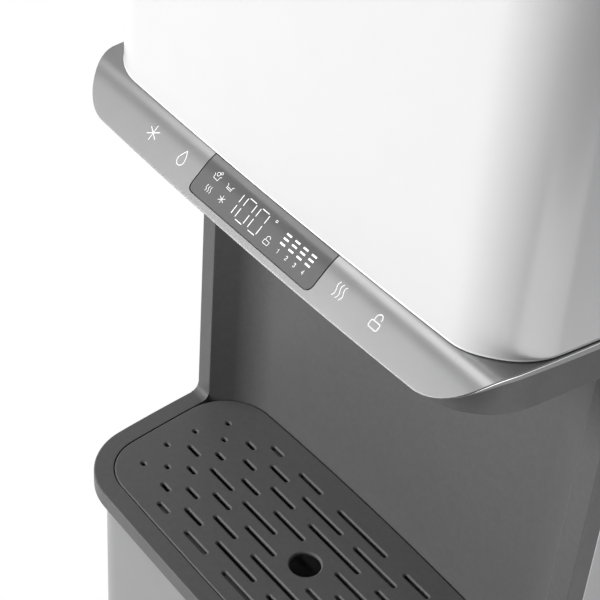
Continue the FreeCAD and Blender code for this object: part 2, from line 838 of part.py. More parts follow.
def make_pump_cradle():
    # Foot plate with two saddles that hold the motor
    low = base_top + moulding
    x_low = pump_motor_x + 8.0
    x_high = pump_motor_x + pump_motor_length - 10.0
    plate = rounded_block(x_low, x_high, filter_depth - 24, filter_depth + 24, low, low + 4.0, 3.0)
    saddles = [block(x, x + cradle_wall, filter_depth - 24, filter_depth + 24, low + 3.0, 118.0)
               for x in (x_low, x_high - cradle_wall)]
    return fused([plate] + saddles).cut(rod_across(x_low - 2, filter_depth, pump_height, 80,
                                                   pump_motor_radius + 0.3))


def make_inlet_valve():
    # Solenoid valve: body, steel yoke round the coil and two in-line ports
    low = base_top + moulding
    body = softened(block(valve_x - 16.0, valve_x + 16.0, filter_depth - 14, filter_depth + 14, low, 112.0),
                    Z_AXIS, 3.0)
    coil = rounded_block(valve_x - 13.0, valve_x + 13.0, filter_depth - 13, filter_depth + 13, 111.0, 143.0,
                         4.0)
    yoke = block(valve_x - 15.0, valve_x + 15.0, filter_depth - 9, filter_depth + 9, 111.0, 146.0)
    yoke = yoke.cut(block(valve_x - 13.4, valve_x + 13.4, filter_depth - 10, filter_depth + 10, 112.0,
                          144.4))
    ports = [rod_across(x, filter_depth, valve_port_height, 13.0, port_radius)
             for x in (valve_x - 28.0, valve_x + 15.0)]
    return fused([body, coil, yoke, rod(valve_x, filter_depth, 140.0, 148.0, 4.0)] + ports)


def make_base_pan():
    # Moulded plinth: shallow tub with a wider top edge and stiffening ribs that carry the compressor
    step_height = 9.0
    rib_top = mount_low
    rib = 3.0
    plan = lower_plan.inset(0.6, 0.0)
    plinth = lower_plan.inset(plinth_inset, 4.0)
    body = fused([plinth.prism(base_floor, base_top - step_height), plan.prism(base_top - step_height,
                                                                               base_top)])
    body = body.cut(plinth.inset(3.0).prism(base_floor + base_wall, base_top + 1))
    ribs = [block(-140, 140, depth, depth + rib, base_floor + 1, rib_top) for depth in (110, 187, 283)]
    ribs += [block(x - rib / 2, x + rib / 2, 20, 340, base_floor + 1, rib_top) for x in (-100, 0, 100)]
    inside = plinth.inset(1.0).prism(base_floor, base_top)
    ledge = block(-130, 130, 20, bay_back_depth + 3.0, base_top - 4.0, base_top)
    ledge = ledge.common(plinth.prism(0, base_top))
    return fused([body, ledge] + [piece.common(inside) for piece in ribs])


def make_foot(x, depth):
    # Round rubber foot with a tapered side, pushed up into the plinth floor
    waist = foot_radius - 1.0
    profile = [(0, 0), (foot_radius, 0), (foot_radius + 1.0, 1.0), (waist, base_floor), (0, base_floor)]
    return turned(profile, x, depth, 0)


def rear_slot(x_low, x_high, z):
    return block(x_low, x_high, back_depth - 5, back_depth + 5, z - rear_slot_height / 2,
                 z + rear_slot_height / 2)


def rear_plate(z_low, z_high, round_z):
    # Sheet panel whose two corners at one end are rounded
    plate = block(-rear_plate_half_width, rear_plate_half_width, back_depth, back_depth + sheet, z_low,
                  z_high)
    through = [edge for edge in plate.Edges if abs(edge.tangentAt(edge.FirstParameter).y) > 0.99]
    edges = [edge for edge in through if abs(edge.CenterOfMass.z - round_z) < 1.0]
    return plate.makeFillet(rear_corner_radius, edges)


def make_rear_cover():
    # Upper back panel with rows of cooling slots
    top = overall_height - 6.0
    plate = rear_plate(rear_split_height, top, top)
    cutters = [screw_holes()]
    for level in rear_slot_levels:
        for middle in (-rear_slot_middle, rear_slot_middle):
            cutters.append(rear_slot(middle - rear_slot_half_length, middle + rear_slot_half_length, level))
    return cut_all(plate, cutters)


def make_rear_lower_panel():
    # Lower back panel, cut out for the connections
    low = base_top - 9.0
    plate = rear_plate(low, rear_split_height - rear_joint_gap, low)
    opening = block(-pocket_half_width, pocket_half_width, back_depth - 5, back_depth + 5, pocket_low,
                    pocket_high)
    return cut_all(plate, [opening, screw_holes()])


def screw_places():
    return [(side * screw_x, z) for side in (1, -1) for z in screw_levels]


def make_rear_screws():
    # Pan-head screws of the back, one group
    screws = []
    for x, z in screw_places():
        head = rod_back(x, back_depth + sheet, z, screw_head_height, screw_head_radius)
        shank = rod_back(x, back_depth - 4.0, z, 4.0 + sheet + 0.5, screw_radius)
        screws.append(fused([head, shank]))
    return Part.makeCompound(screws)


def screw_holes():
    return Part.makeCompound([rod_back(x, back_depth - 8.0, z, 12, screw_hole_radius)
                              for x, z in screw_places()])


def pocket_floor_depth():
    return back_depth - pocket_reach


def make_connection_pocket():
    # Four-sided sleeve let into the back, with a narrow seat for the connection plate at its inner end
    floor_depth = pocket_floor_depth()
    half = pocket_half_width - fit_gap
    low = pocket_low + fit_gap
    high = pocket_high - fit_gap
    seat_width = moulding + 4.0
    outer = block(-half, half, floor_depth - pocket_seat, back_depth + sheet, low, high)
    inner = block(-half + moulding, half - moulding, floor_depth, back_depth + 5, low + moulding,
                  high - moulding)
    window = block(-half + seat_width, half - seat_width, floor_depth - 10, back_depth, low + seat_width,
                   high - seat_width)
    return cut_all(outer, [inner, window])


def make_connection_plate():
    # Plate at the end of the sleeve that carries water, drain, switches and mains socket
    floor_depth = pocket_floor_depth()
    edge = fit_gap + moulding + plate_play
    half = pocket_half_width - edge
    through = (floor_depth - 1, floor_depth + 5)
    plate = block(-half, half, floor_depth, floor_depth + moulding, pocket_low + edge, pocket_high - edge)
    holes = [rod_back(x, floor_depth - 1, fitting_height, moulding + 2, fitting_radius + 0.3)
             for x in fitting_x]
    holes += [block(x - switch_half_width - plate_play, x + switch_half_width + plate_play, *through,
                    switch_height - switch_half_height - plate_play,
                    switch_height + switch_half_height + plate_play)
              for x in fitting_x]
    holes.append(block(socket_x - 25.0, socket_x + 25.0, *through, socket_height - 16.0,
                       socket_height + 16.0))
    return cut_all(plate, holes)


def make_water_fitting(x):
    # Push-in bulkhead union for 6.35 mm tube
    start = pocket_floor_depth()
    body = rod_back(x, start - 10, fitting_height, 30, fitting_radius)
    collar = rod_back(x, start + moulding, fitting_height, 4, fitting_collar_radius)
    nut = rod_back(x, start - 4, fitting_height, 4, fitting_collar_radius)
    return fused([body, collar, nut]).cut(rod_back(x, start + 2, fitting_height, 30, tube_radius))


def make_switch_frame():
    # Bezels and boxes of the two rear switches, one moulding each side by side
    floor_depth = pocket_floor_depth()
    half = switch_half_width
    high = switch_half_height
    wall = 1.4
    lip = 1.7
    face = floor_depth + moulding
    frames = []
    for x in fitting_x:
        case = block(x - half, x + half, floor_depth - 14, face + 1, switch_height - high,
                     switch_height + high)
        bezel = block(x - half - lip, x + half + lip, face, face + 1.5, switch_height - high - lip,
                      switch_height + high + lip)
        bezel = softened(bezel, Y_AXIS, 1.2)
        hollow = block(x - half + wall, x + half - wall, floor_depth - 6, floor_depth + 9,
                       switch_height - high + 2.0, switch_height + high - 2.0)
        axle_holes = rod_across(x - 7.5, floor_depth, switch_height, 15, rocker_axle_radius + 0.06)
        frames.append(fused([case, bezel]).cut(hollow).cut(axle_holes))
    return Part.makeCompound(frames)


def make_rocker(x):
    # Rocker of a rear switch, with a dished face, resting on one end
    pivot = Vector(x, from_front(pocket_floor_depth()), switch_height)
    half = 10.0
    face = 5.6
    dish = 1.4
    root = 2.0
    width = 10.0
    axle_length = 13.0
    low_end = Vector(0, face, -half)
    high_end = Vector(0, face, half)
    edges = [
        Part.Arc(low_end, Vector(0, face - dish, 0), high_end).toShape(),
        Part.LineSegment(high_end, Vector(0, -root, half - root)).toShape(),
        Part.LineSegment(Vector(0, -root, half - root), Vector(0, -root, -half + root)).toShape(),
        Part.LineSegment(Vector(0, -root, -half + root), low_end).toShape(),
    ]
    body = Part.Face(Part.Wire(edges)).extrude(Vector(width, 0, 0))
    body.translate(Vector(-width / 2, 0, 0))
    axle = Part.makeCylinder(rocker_axle_radius, axle_length, Vector(-axle_length / 2, 0, 0), X_AXIS)
    rocker = fused([body, axle])
    rocker.rotate(Vector(0, 0, 0), X_AXIS, rocker_rest_deg)
    rocker.translate(pivot)
    return rocker


def make_mains_inlet():
    # Appliance socket with three pins
    floor_depth = pocket_floor_depth()
    face = floor_depth + moulding
    x = socket_x
    z = socket_height
    body = block(x - 24, x + 24, floor_depth - 18, face, z - 15, z + 15)
    flange = block(x - 28, x + 28, face, face + 2.5, z - 19, z + 19)
    flange = softened(flange, Y_AXIS, 4.0)
    hollow = softened(block(x - 13, x + 13, floor_depth - 14, floor_depth + 10, z - 9, z + 9), Y_AXIS, 2.5)
    pin_places = ((x - 7, z - 2), (x + 7, z - 2), (x, z + 3))
    pins = [block(px - 1, px + 1, floor_depth - 15, floor_depth - 1, pz - 2.5, pz + 2.5)
            for px, pz in pin_places]
    return fused([fused([body, flange]).cut(hollow)] + pins)


def compressor_feet():
    reach_x, reach_depth = mount_reach
    return [(compressor_x + sx * reach_x, compressor_depth + sd * reach_depth) for sx in (-1, 1)
            for sd in (-1, 1)]


def make_compressor():
    # Sealed compressor: two deep-drawn halves with a welded lip, on a pressed foot plate, with three tube
    # stubs
    low = compressor_plate_low
    can_profile = [
        (0, 0), (48.0, 0), (62.0, 8.0), (68.0, 24.0), (68.0, 74.0), (72.0, 74.0), (72.0, 79.0), (68.0,
                                                                                                 79.0),
        (68.0, 118.0), (60.0, 138.0), (40.0, 150.0), (0, 152.0),
    ]
    can = turned(can_profile, compressor_x, compressor_depth, low + 6.0)
    plate = rounded_block(compressor_x - 80.0, compressor_x + 80.0, compressor_depth - 60.0,
                          compressor_depth + 60.0,
                          low, low + compressor_plate_thickness, 14.0)
    neck = rod(compressor_x, compressor_depth, low + 2.0, low + 10.0, 40.0)
    terminal = softened(block(24, 44, 218, 254, 118, 158), X_AXIS, 4.0)
    stubs = [rod(compressor_x + dx, compressor_depth + 30.0, 190.0, 232.0, 3.2) for dx in (-24.0, 0, 24.0)]
    compressor = fused([can, plate, neck, terminal] + stubs)
    return cut_all(compressor, [rod(x, depth, low - 6, low + 14, 6.3) for x, depth in compressor_feet()])


def make_compressor_mounts():
    # Rubber grommets under and through the foot plate, one group
    profile = [(0, 0), (13.0, 0), (13.0, 16.0), (6.0, 16.0), (6.0, 20.0), (10.0, 20.0), (8.0, 25.0), (0,
                                                                                                      25.0)]
    return Part.makeCompound([turned(profile, x, depth, mount_low) for x, depth in compressor_feet()])


def make_condenser():
    # Serpentine tube of the cooling circuit, upright behind the slotted back, on two straps
    bend = coil_pitch / 2
    y = from_front(coil_depth)
    edges = []
    for index in range(coil_passes):
        z = coil_low + index * coil_pitch
        side = 1 if index % 2 == 0 else -1
        end = Vector(side * coil_half_width, y, z)
        edges.append(Part.LineSegment(Vector(-side * coil_half_width, y, z), end).toShape())
        if index < coil_passes - 1:
            far = Vector(side * (coil_half_width + bend), y, z + bend)
            edges.append(Part.Arc(end, far, Vector(side * coil_half_width, y, z + coil_pitch)).toShape())
    path = Part.Wire(edges)
    ring = Part.Wire(Part.makeCircle(coil_tube_radius, path.Vertexes[0].Point, X_AXIS))
    coil = path.makePipeShell([ring], True, True)
    strap_depth = coil_depth + coil_tube_radius
    straps = [block(-frame_post_x, frame_post_x, strap_depth, strap_depth + strap_thickness, z,
                    z + strap_width)
              for z in (coil_low + coil_pitch - 4.0, coil_low + (coil_passes - 2) * coil_pitch - 4.0)]
    return Part.makeCompound([coil] + straps)


def make_pure_water_tank():
    # Blow-moulded tank in the column, rounded all round, with a filling collar and an outlet spigot
    tank = rounded_block(-108, 12, 136, 300, shelf_top, shelf_top + pure_tank_height, 22.0)
    flat_edges = [edge for edge in tank.Edges if abs(edge.BoundBox.ZMax - edge.BoundBox.ZMin) < 0.01]
    tank = tank.makeFillet(10.0, flat_edges)
    top = shelf_top + pure_tank_height
    collar = rod(cap_x, cap_depth, top - 1.0, top + 8.0, 30.0)
    spigot = rod_back(cap_x, 128.0, shelf_top + 24.0, 10.0, port_radius)
    return fused([tank, collar, spigot])


def make_tank_cap():
    # Screw cap with a bevelled top edge
    profile = [(0, 0), (34.0, 0), (34.0, 10.0), (31.0, 13.0), (0, 13.0)]
    return turned(profile, cap_x, cap_depth, shelf_top + pure_tank_height + 8.0)


def cold_tank_profile(play):
    radius = cold_tank_radius + play
    length = cold_tank_length
    return [
        (0, -play), (20.0, 2.0 - play), (radius - 6.0, 8.0 - play), (radius, 16.0), (radius, length - 16.0),
        (radius - 6.0, length - 8.0 + play), (20.0, length - 2.0 + play), (0, length + play),
    ]


def make_cold_tank():
    # Stainless cylinder with dished ends
    return turned(cold_tank_profile(0), cold_tank_x, cold_tank_depth, shelf_top + jacket_wall)


def make_cold_tank_jacket():
    # Foam jacket in one piece round the cold tank
    height = cold_tank_length + 2 * jacket_wall
    bevel = 6.0
    profile = [(0, 0), (jacket_radius - bevel, 0), (jacket_radius, bevel), (jacket_radius, height - bevel),
               (jacket_radius - bevel, height), (0, height)]
    outer = turned(profile, cold_tank_x, cold_tank_depth, shelf_top)
    return outer.cut(turned(cold_tank_profile(0.4), cold_tank_x, cold_tank_depth, shelf_top + jacket_wall))


def make_instant_heater():
    # Flow heater: finned cylinder with end caps on two feet, lying in the head
    floor = above_tray(recess_height) + moulding
    half = heater_half_length
    core = rod_across(-half, heater_depth, heater_height, 2 * half, heater_radius)
    caps = [rod_across(x, heater_depth, heater_height, 8, heater_radius + 5.0)
            for x in (-half - 6.0, half - 2.0)]
    first_fin = -(heater_fins - 1) / 2 * heater_fin_pitch
    fins = [rod_across(first_fin + index * heater_fin_pitch - 1.0, heater_depth, heater_height, 2.0,
                       heater_radius + 3.5) for index in range(heater_fins)]
    feet_plan = ((-heater_foot_half_depth, floor), (heater_foot_half_depth, floor), (12.0,
                                                                                     heater_height - 22.0),
                 (-12.0, heater_height - 22.0))
    section = [(heater_depth + depth, z) for depth, z in feet_plan]
    feet = [bar_across(section, x, x + 6.0) for x in (-half - 5.0, half - 1.0)]
    return fused([core] + caps + fins + feet)


def make_delivery_pump():
    # Small pump that lifts stored water to the outlet
    floor = above_tray(recess_height) + moulding
    motor = rod(pump_x, pump_depth, 975, 1035, 20.0)
    head = rounded_block(pump_x - 21.0, pump_x + 22.0, pump_depth - 22.0, pump_depth + 22.0, floor, 976,
                         6.0)
    port = rod_back(pump_x, pump_depth + 20.0, 954.0, 14.0, 5.0)
    return fused([motor, head, port, rod(pump_x, pump_depth, 1034, 1038, 6.0)])


def make_outlet_nozzle():
    # Turned outlet under the head, over the middle of the grille
    low = above_tray(recess_height)
    profile = [(0, -16), (9.0, -16), (11.0, -14), (15.0, -1.0), (nozzle_flange_radius, -1.0),
               (nozzle_flange_radius, 0),
               (nozzle_neck_radius, 0), (nozzle_neck_radius, 14.0), (0, 14.0)]
    body = turned(profile, 0, centre_row_depth, low)
    return body.cut(rod(0, centre_row_depth, low - 20, low + 20, nozzle_bore_radius))


def make_outlet_seal():
    # Soft ring between the outlet and the casing floor
    low = above_tray(recess_height) + moulding
    ring = rod(0, centre_row_depth, low, low + 3.0, 23.0)
    return ring.cut(rod(0, centre_row_depth, low - 1, low + 4, nozzle_neck_radius + 0.05))


def make_main_board():
    # Control electronics: board, transformer, relays, heat sink and capacitors
    front = board_depth - sheet
    board = block(-board_half_width, board_half_width, front, board_depth, board_low, board_high)
    transformer = softened(block(-60, -24, front - 22, front + 0.5, board_low + 15, board_low + 45), Y_AXIS,
                           2.0)
    relays = [block(x, x + 16, front - 15, front + 0.5, board_low + 12, board_low + 36) for x in (-10, 12)]
    sink_fins = [block(x, x + 2, front - 20, front - 2, board_high - 50, board_high - 20)
                 for x in range(-56, -20, 6)]
    sink = block(-58, -22, front - 3, front + 0.5, board_high - 52, board_high - 18)
    cans = [rod_back(x, front - 20, board_high - 35, 20.5, 9.0) for x in (30, 54)]
    sockets = [block(x, x + 14, front - 8, front + 0.5, board_high - 12, board_high - 4) for x in (-10, 10)]
    return fused([board, transformer, sink] + relays + sink_fins + cans + sockets)


def make_board_tray():
    # Plastic carrier that stands on the head's floor
    floor = above_tray(recess_height) + moulding
    half = carrier_half_width
    plate_depth = board_depth + 2.0
    plate = block(-half, half, plate_depth, plate_depth + moulding, floor, board_high + 5.0)
    gusset = ((plate_depth, floor), (plate_depth + 24.0, floor), (plate_depth, floor + 50.0))
    feet = [bar_across(gusset, x, x + 3) for x in (-half, half - 3)]
    pegs = [rod_back(x, board_depth, z, 3, 3.5) for x in (-62, 62) for z in (board_low + 8, board_high - 8)]
    return fused([plate] + feet + pegs)


def make_inner_frame():
    # Folded steel uprights and a lipped shelf that carries the tanks
    floor = base_floor + base_wall
    t = frame_sheet
    high = shelf_top - t
    fold = 14.0
    front = shelf_front_depth
    posts = []
    for side in (-1, 1):
        outer = side * shelf_half_width
        folded = [(outer, front), (outer - side * fold, front), (outer - side * fold, front + t),
                  (outer - side * t, front + t), (outer - side * t, front + 18), (outer, front + 18)]
        posts.append(upright_bar(folded, floor, high + 1))
        outer = side * frame_post_x
        back = coil_depth + coil_tube_radius
        folded = [(outer, frame_back_post_depth), (outer, back), (outer - side * fold, back),
                  (outer - side * fold, back - t),
                  (outer - side * t, back - t), (outer - side * t, frame_back_post_depth)]
        posts.append(upright_bar(folded, floor, high + 1))
    shelf = block(-shelf_half_width, shelf_half_width, front, shelf_back_depth, high, shelf_top)
    lips = [block(-shelf_half_width, shelf_half_width, depth, depth + t, high - shelf_lip, high + 1)
            for depth in (front, shelf_back_depth - t)]
    return fused(posts + [shelf] + lips)


nodes = {
    "niche_liner": make_niche_liner(),
    "tray_well": make_tray_well(),
    "drip_tray": make_drip_tray(),
    "drip_grille": make_drip_grille(),
    "head_lower_casing": make_head_lower_casing(),
    "control_band": make_control_band(),
    "display_window": make_display_window(),
    "touch_board": make_touch_board(),
    "upper_housing": make_upper_housing().cut(screw_holes()),
    "top_cover": make_top_cover(),
    "column_side_left": make_column_side(-1).cut(screw_holes()),
    "column_side_right": make_column_side(1).cut(screw_holes()),
    "lower_side_left": make_lower_side(-1).cut(screw_holes()),
    "lower_side_right": make_lower_side(1).cut(screw_holes()),
    "front_door": make_front_door(),
    "hinge_pin_top": make_hinge_pin_top(),
    "hinge_pin_bottom": make_hinge_pin_bottom(),
    "door_strike": make_door_strike(),
    "door_magnet": make_door_magnet(),
    "filter_bay": make_filter_bay(),
    "filter_manifold": make_filter_manifold(),
    "pump_motor": make_pump_motor(),
    "pump_head": make_pump_head(),
    "pump_cradle": make_pump_cradle(),
    "inlet_valve": make_inlet_valve(),
    "base_pan": make_base_pan(),
    "rear_cover": make_rear_cover(),
    "rear_lower_panel": make_rear_lower_panel(),
    "rear_screws": make_rear_screws(),
    "connection_pocket": make_connection_pocket(),
    "connection_plate": make_connection_plate(),
    "water_inlet": make_water_fitting(fitting_x[0]),
    "drain_outlet": make_water_fitting(fitting_x[1]),
    "switch_frames": make_switch_frame(),
    "heating_switch": make_rocker(fitting_x[0]),
    "cooling_switch": make_rocker(fitting_x[1]),
    "mains_inlet": make_mains_inlet(),
    "compressor": make_compressor(),
    "compressor_mounts": make_compressor_mounts(),
    "condenser": make_condenser(),
    "pure_water_tank": make_pure_water_tank(),
    "tank_cap": make_tank_cap(),
    "cold_tank": make_cold_tank(),
    "cold_tank_jacket": make_cold_tank_jacket(),
    "instant_heater": make_instant_heater(),
    "delivery_pump": make_delivery_pump(),
    "outlet_nozzle": make_outlet_nozzle(),
    "outlet_seal": make_outlet_seal(),
    "main_board": make_main_board(),
    "board_tray": make_board_tray(),
    "inner_frame": make_inner_frame(),
}

filter_names = ("sediment_filter", "carbon_filter", "membrane_filter", "polishing_filter")
for name, x in zip(filter_names, filter_places):
    nodes[name] = make_filter(x)

foot_places = {
    "foot_front_left": (-foot_x, foot_front_depth),
    "foot_front_right": (foot_x, foot_front_depth),
    "foot_back_left": (-foot_x, foot_back_depth),
    "foot_back_right": (foot_x, foot_back_depth),
}
for name, (x, depth) in foot_places.items():
    nodes[name] = make_foot(x, depth)

os.makedirs("parts", exist_ok=True)
for name, shape in nodes.items():
    shape.exportStep("parts/" + name + ".step")
    print(name, "solids", len(shape.Solids), "valid", shape.isValid(), "volume", round(shape.Volume / 1000,
                                                                                       1))
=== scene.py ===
# Floor-standing hot and cold water dispenser: dressed pieces over the fixed frame.
import bisect
import json
import math
from contextlib import contextmanager
import bpy
import bmesh
from mathutils import Matrix, Vector


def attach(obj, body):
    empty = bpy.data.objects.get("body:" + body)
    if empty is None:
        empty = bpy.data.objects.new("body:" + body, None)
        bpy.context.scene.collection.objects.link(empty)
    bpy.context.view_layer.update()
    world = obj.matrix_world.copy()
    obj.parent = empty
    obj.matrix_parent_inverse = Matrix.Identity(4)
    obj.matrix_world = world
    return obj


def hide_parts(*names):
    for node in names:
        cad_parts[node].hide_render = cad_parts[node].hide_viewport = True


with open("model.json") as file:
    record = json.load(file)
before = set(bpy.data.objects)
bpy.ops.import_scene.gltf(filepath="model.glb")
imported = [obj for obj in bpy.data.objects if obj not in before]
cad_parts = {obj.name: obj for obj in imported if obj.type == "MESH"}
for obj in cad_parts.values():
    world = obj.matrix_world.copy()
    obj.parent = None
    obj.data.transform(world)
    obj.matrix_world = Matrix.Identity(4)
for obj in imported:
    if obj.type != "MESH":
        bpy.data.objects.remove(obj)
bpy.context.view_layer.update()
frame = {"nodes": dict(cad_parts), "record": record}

nodes = frame["nodes"]
slotOf = {row["node"]: row["material_slot"] for row in frame["record"]["subparts"]}
mm = 0.001
print("frame loaded,", len(nodes), "nodes")


# Every length below is in millimetres; meshOf turns it into metres. A depth is counted from the foremost
# edge of the drip platform, and a height over the tray from the grille's top.
machine = {
    "depth": 352.0,
    "height": 1160.0,
    "trayHeight": 700.0,
    "backDepth": 348.4,
    "rearGap": 95.0,          # half width of the opening in the back
}


def yAt(depth):
    return depth - machine["depth"] / 2


def overTray(height):
    return machine["trayHeight"] + height


# Plans: bowed rounded outlines seen from above

usualPlan = {"back": machine["backDepth"], "backCorner": 30.0, "backRadius": 20000.0, "frontRadius": 5093.0,
             "sideRadius": 1239.0}


def plan(half, front, frontCorner, **changes):
    # half width, depth of the front and radius of its corners, with what differs from the usual plan
    return {**usualPlan, "half": half, "front": front, "frontCorner": frontCorner, **changes}


def insetPlan(p, amount, **changes):
    inner = {key: size - amount for key, size in p.items()}
    inner["front"] = p["front"] + amount
    for corner in ("frontCorner", "backCorner"):
        inner[corner] = max(inner[corner], 2.0)
    return {**inner, **changes}


def cornerCentre(first, firstRadius, second, secondRadius, radius, toward):
    # centre of the small arc that touches two large arcs from inside
    reachFirst, reachSecond = firstRadius - radius, secondRadius - radius
    between = second - first
    gap = between.length
    along = (reachFirst ** 2 - reachSecond ** 2 + gap ** 2) / (2 * gap)
    across = math.sqrt(reachFirst ** 2 - along ** 2)
    unit = between / gap
    normal = Vector((-unit.y, unit.x))
    options = [first + unit * along + normal * across * side for side in (1, -1)]
    return max(options, key=lambda point: point.x + toward * point.y)


def angleOf(vector):
    return math.atan2(vector.y, vector.x)


def halfPath(p, endDepth=None, endX=None, steps=(28, 16, 26, 14, 14)):
    # right half of the plan from the middle of the front, as (x, y, outward x, outward y)
    front = Vector((0, yAt(p["front"]) + p["frontRadius"]))
    side = Vector((p["half"] - p["sideRadius"], 0))
    back = Vector((0, yAt(p["back"]) - p["backRadius"]))
    low = cornerCentre(front, p["frontRadius"], side, p["sideRadius"], p["frontCorner"], -1)
    high = cornerCentre(back, p["backRadius"], side, p["sideRadius"], p["backCorner"], 1)
    turns = [angleOf(low - front), angleOf(low - side), angleOf(high - side), angleOf(high - back)]
    turns = [-math.pi / 2, *turns, math.pi / 2]
    arcs = list(zip((front, low, side, high, back),
                    (p["frontRadius"], p["frontCorner"], p["sideRadius"], p["backCorner"], p["backRadius"]),
                    turns[:-1], turns[1:], steps))
    if endDepth is not None:
        centre, radius, start, end, count = arcs[2]
        arcs[2:] = [(centre, radius, start, math.asin(yAt(endDepth) / radius), count)]
    elif endX is not None:
        centre, radius, start, end, count = arcs[4]
        arcs[4:] = [(centre, radius, start, math.acos(endX / radius), count)]
    points = []
    for number, (centre, radius, start, end, count) in enumerate(arcs):
        for step in range(0 if number == 0 else 1, count + 1):
            turn = start + (end - start) * step / count
            points.append((centre.x + radius * math.cos(turn), centre.y + radius * math.sin(turn),
                           math.cos(turn), math.sin(turn)))
    return points


def mirrored(points):
    return [(-x, y, -outX, outY) for x, y, outX, outY in points]


def openPath(p, endDepth=None, endX=None):
    right = halfPath(p, endDepth, endX)
    return mirrored(right[:0:-1]) + right


def rearOpenPath(p):
    return openPath(p, endX=machine["rearGap"])


def closedPath(p):
    right = halfPath(p)
    return right + mirrored(right[-2:0:-1])


def outlineOf(path, inset=0.0):
    # a path's (x, y) points, moved inward
    return [(x - outX * inset, y - outY * inset) for x, y, outX, outY in path]


def sideAt(p, depth):
    # half width of a plan at a depth, on its bowed side
    return p["half"] - p["sideRadius"] + math.sqrt(p["sideRadius"] ** 2 - yAt(depth) ** 2)


rimPlan = plan(150.0, 0.0, 38.4)
grillePlan = insetPlan(rimPlan, 11.2, back=118.6, backCorner=31.7, backRadius=2130.0)
basinPlan = plan(125.9, 24.1, 34.0, back=105.7, backCorner=34.0, backRadius=2130.0)
lowerPlan = insetPlan(rimPlan, 7.1, back=machine["backDepth"])
bandPlan = plan(151.2, 7.4, 31.6)
flangePlan = plan(150.9, 11.0, 28.0)
skirtPlan = plan(146.7, 16.2, 37.2)
housingPlan = plan(150.2, 25.4, 32.9)


# Outlines

def arc(x, y, radius, start, end, steps):
    # points from one angle to another, in degrees
    turns = [math.radians(start + (end - start) * step / steps) for step in range(steps + 1)]
    return [(x + radius * math.cos(turn), y + radius * math.sin(turn)) for turn in turns]


def circle(x, y, radius, count=48):
    return arc(x, y, radius, 0, 360, count)[:-1]


def rounded(points, radii, steps=4):
    # closed polygon with each corner turned into an arc
    result = []
    for index, (point, radius) in enumerate(zip(points, radii)):
        here = Vector(point)
        if radius <= 0:
            result.append(tuple(here))
            continue
        before = (Vector(points[index - 1]) - here).normalized()
        after = (Vector(points[(index + 1) % len(points)]) - here).normalized()
        opening = before.angle(after)
        reach = radius / math.tan(opening / 2)
        centre = here + (before + after).normalized() * radius / math.sin(opening / 2)
        start = here + before * reach - centre
        end = here + after * reach - centre
        for step in range(steps + 1):
            result.append(tuple(centre + start.lerp(end, step / steps).normalized() * radius))
    return result


def roundedRectangle(lowX, highX, lowY, highY, radii, steps=4):
    return rounded([(lowX, lowY), (highX, lowY), (highX, highY), (lowX, highY)], radii, steps)


# Shapes, each as (points, faces)

def ringFaces(rings, size, closed=False, tube=True):
    # walls between rings of points; a row of rings that isn't closed on itself gets flat ends
    faces = []
    for ring in range(rings if closed else rings - 1):
        here, there = ring * size, (ring + 1) % rings * size
        for index in range(size if tube else size - 1):
            other = (index + 1) % size
            faces.append((here + index, there + index, there + other, here + other))
    return faces if closed else faces + [tuple(range(size)), tuple(range((rings - 1) * size, rings * size))]


def sweep(path, section, closed=False, place=None):
    # carries a closed section (inset, height) along a plan path; a section may be a function of the place
    place = place or (lambda y, height: height)
    sectionAt = section if callable(section) else (lambda x, y: section)
    verts = []
    for x, y, outX, outY in path:
        for inset, height in sectionAt(x, y):
            px, py = x - outX * inset, y - outY * inset
            verts.append((px, py, place(py, height)))
    return verts, ringFaces(len(path), len(verts) // len(path), closed)


def capped(path, section):
    # carries an open section round a closed path and closes both of its ends with flat faces
    size, rings = len(section), len(path)
    verts = [(x - outX * inset, y - outY * inset, height)
             for x, y, outX, outY in path for inset, height in section]
    ends = [tuple(range(start, size * rings, size)) for start in (0, size - 1)]
    return verts, ringFaces(rings, size, closed=True, tube=False) + ends


def between(first, second):
    # closed solid between two outlines with as many points each
    count = len(first)
    faces = [(i, (i + 1) % count, count + (i + 1) % count, count + i) for i in range(count)]
    return first + second, faces + [tuple(range(count)), tuple(range(count, 2 * count))]


def upright(outline, low, high):
    return between([(x, y, low) for x, y in outline], [(x, y, high) for x, y in outline])


def turned(profile, x, y, steps=56):
    # solid of revolution from (radius, height) points about an upright axis
    verts = []
    for step in range(steps):
        turn = 2 * math.pi * step / steps
        verts += [(x + radius * math.cos(turn), y + radius * math.sin(turn), height)
                  for radius, height in profile]
    return verts, ringFaces(steps, len(profile), closed=True, tube=False)


def softBlock(low, high, radius, segments=1):
    # block with all edges rounded
    shape = bmesh.new()
    bmesh.ops.create_cube(shape, size=1.0)
    for vert in shape.verts:
        vert.co = Vector([low[i] + (vert.co[i] + 0.5) * (high[i] - low[i]) for i in range(3)])
    bmesh.ops.bevel(shape, geom=shape.edges[:], offset=radius, segments=segments, profile=0.5, affect="EDGES")
    shape.verts.index_update()
    result = [tuple(v.co) for v in shape.verts], [tuple(v.index for v in f.verts) for f in shape.faces]
    shape.free()
    return result


def joined(shapes):
    verts, faces = [], []
    for shapeVerts, shapeFaces in shapes:
        start = len(verts)
        verts += shapeVerts
        faces += [tuple(start + index for index in face) for face in shapeFaces]
    return verts, faces


def flipped(shape):
    verts, faces = shape
    return [(-x, y, z) for x, y, z in verts], [face[::-1] for face in faces]


# Meshes and pieces

cleaning = {
    "weld": 2e-6,             # metres
    "shortEdge": 1e-6,
    "flatNormal": 0.999,      # least share of a normal along the thickness on a flat side
    "nodeWeld": 5e-6,
    "nodeFlat": 0.6,          # degrees between faces that count as one
    "nodeCorner": 32.0,       # degrees between faces whose edge is rounded
}


@contextmanager
def editing(mesh):
    work = bmesh.new()
    work.from_mesh(mesh)
    yield work
    work.to_mesh(mesh)
    work.free()


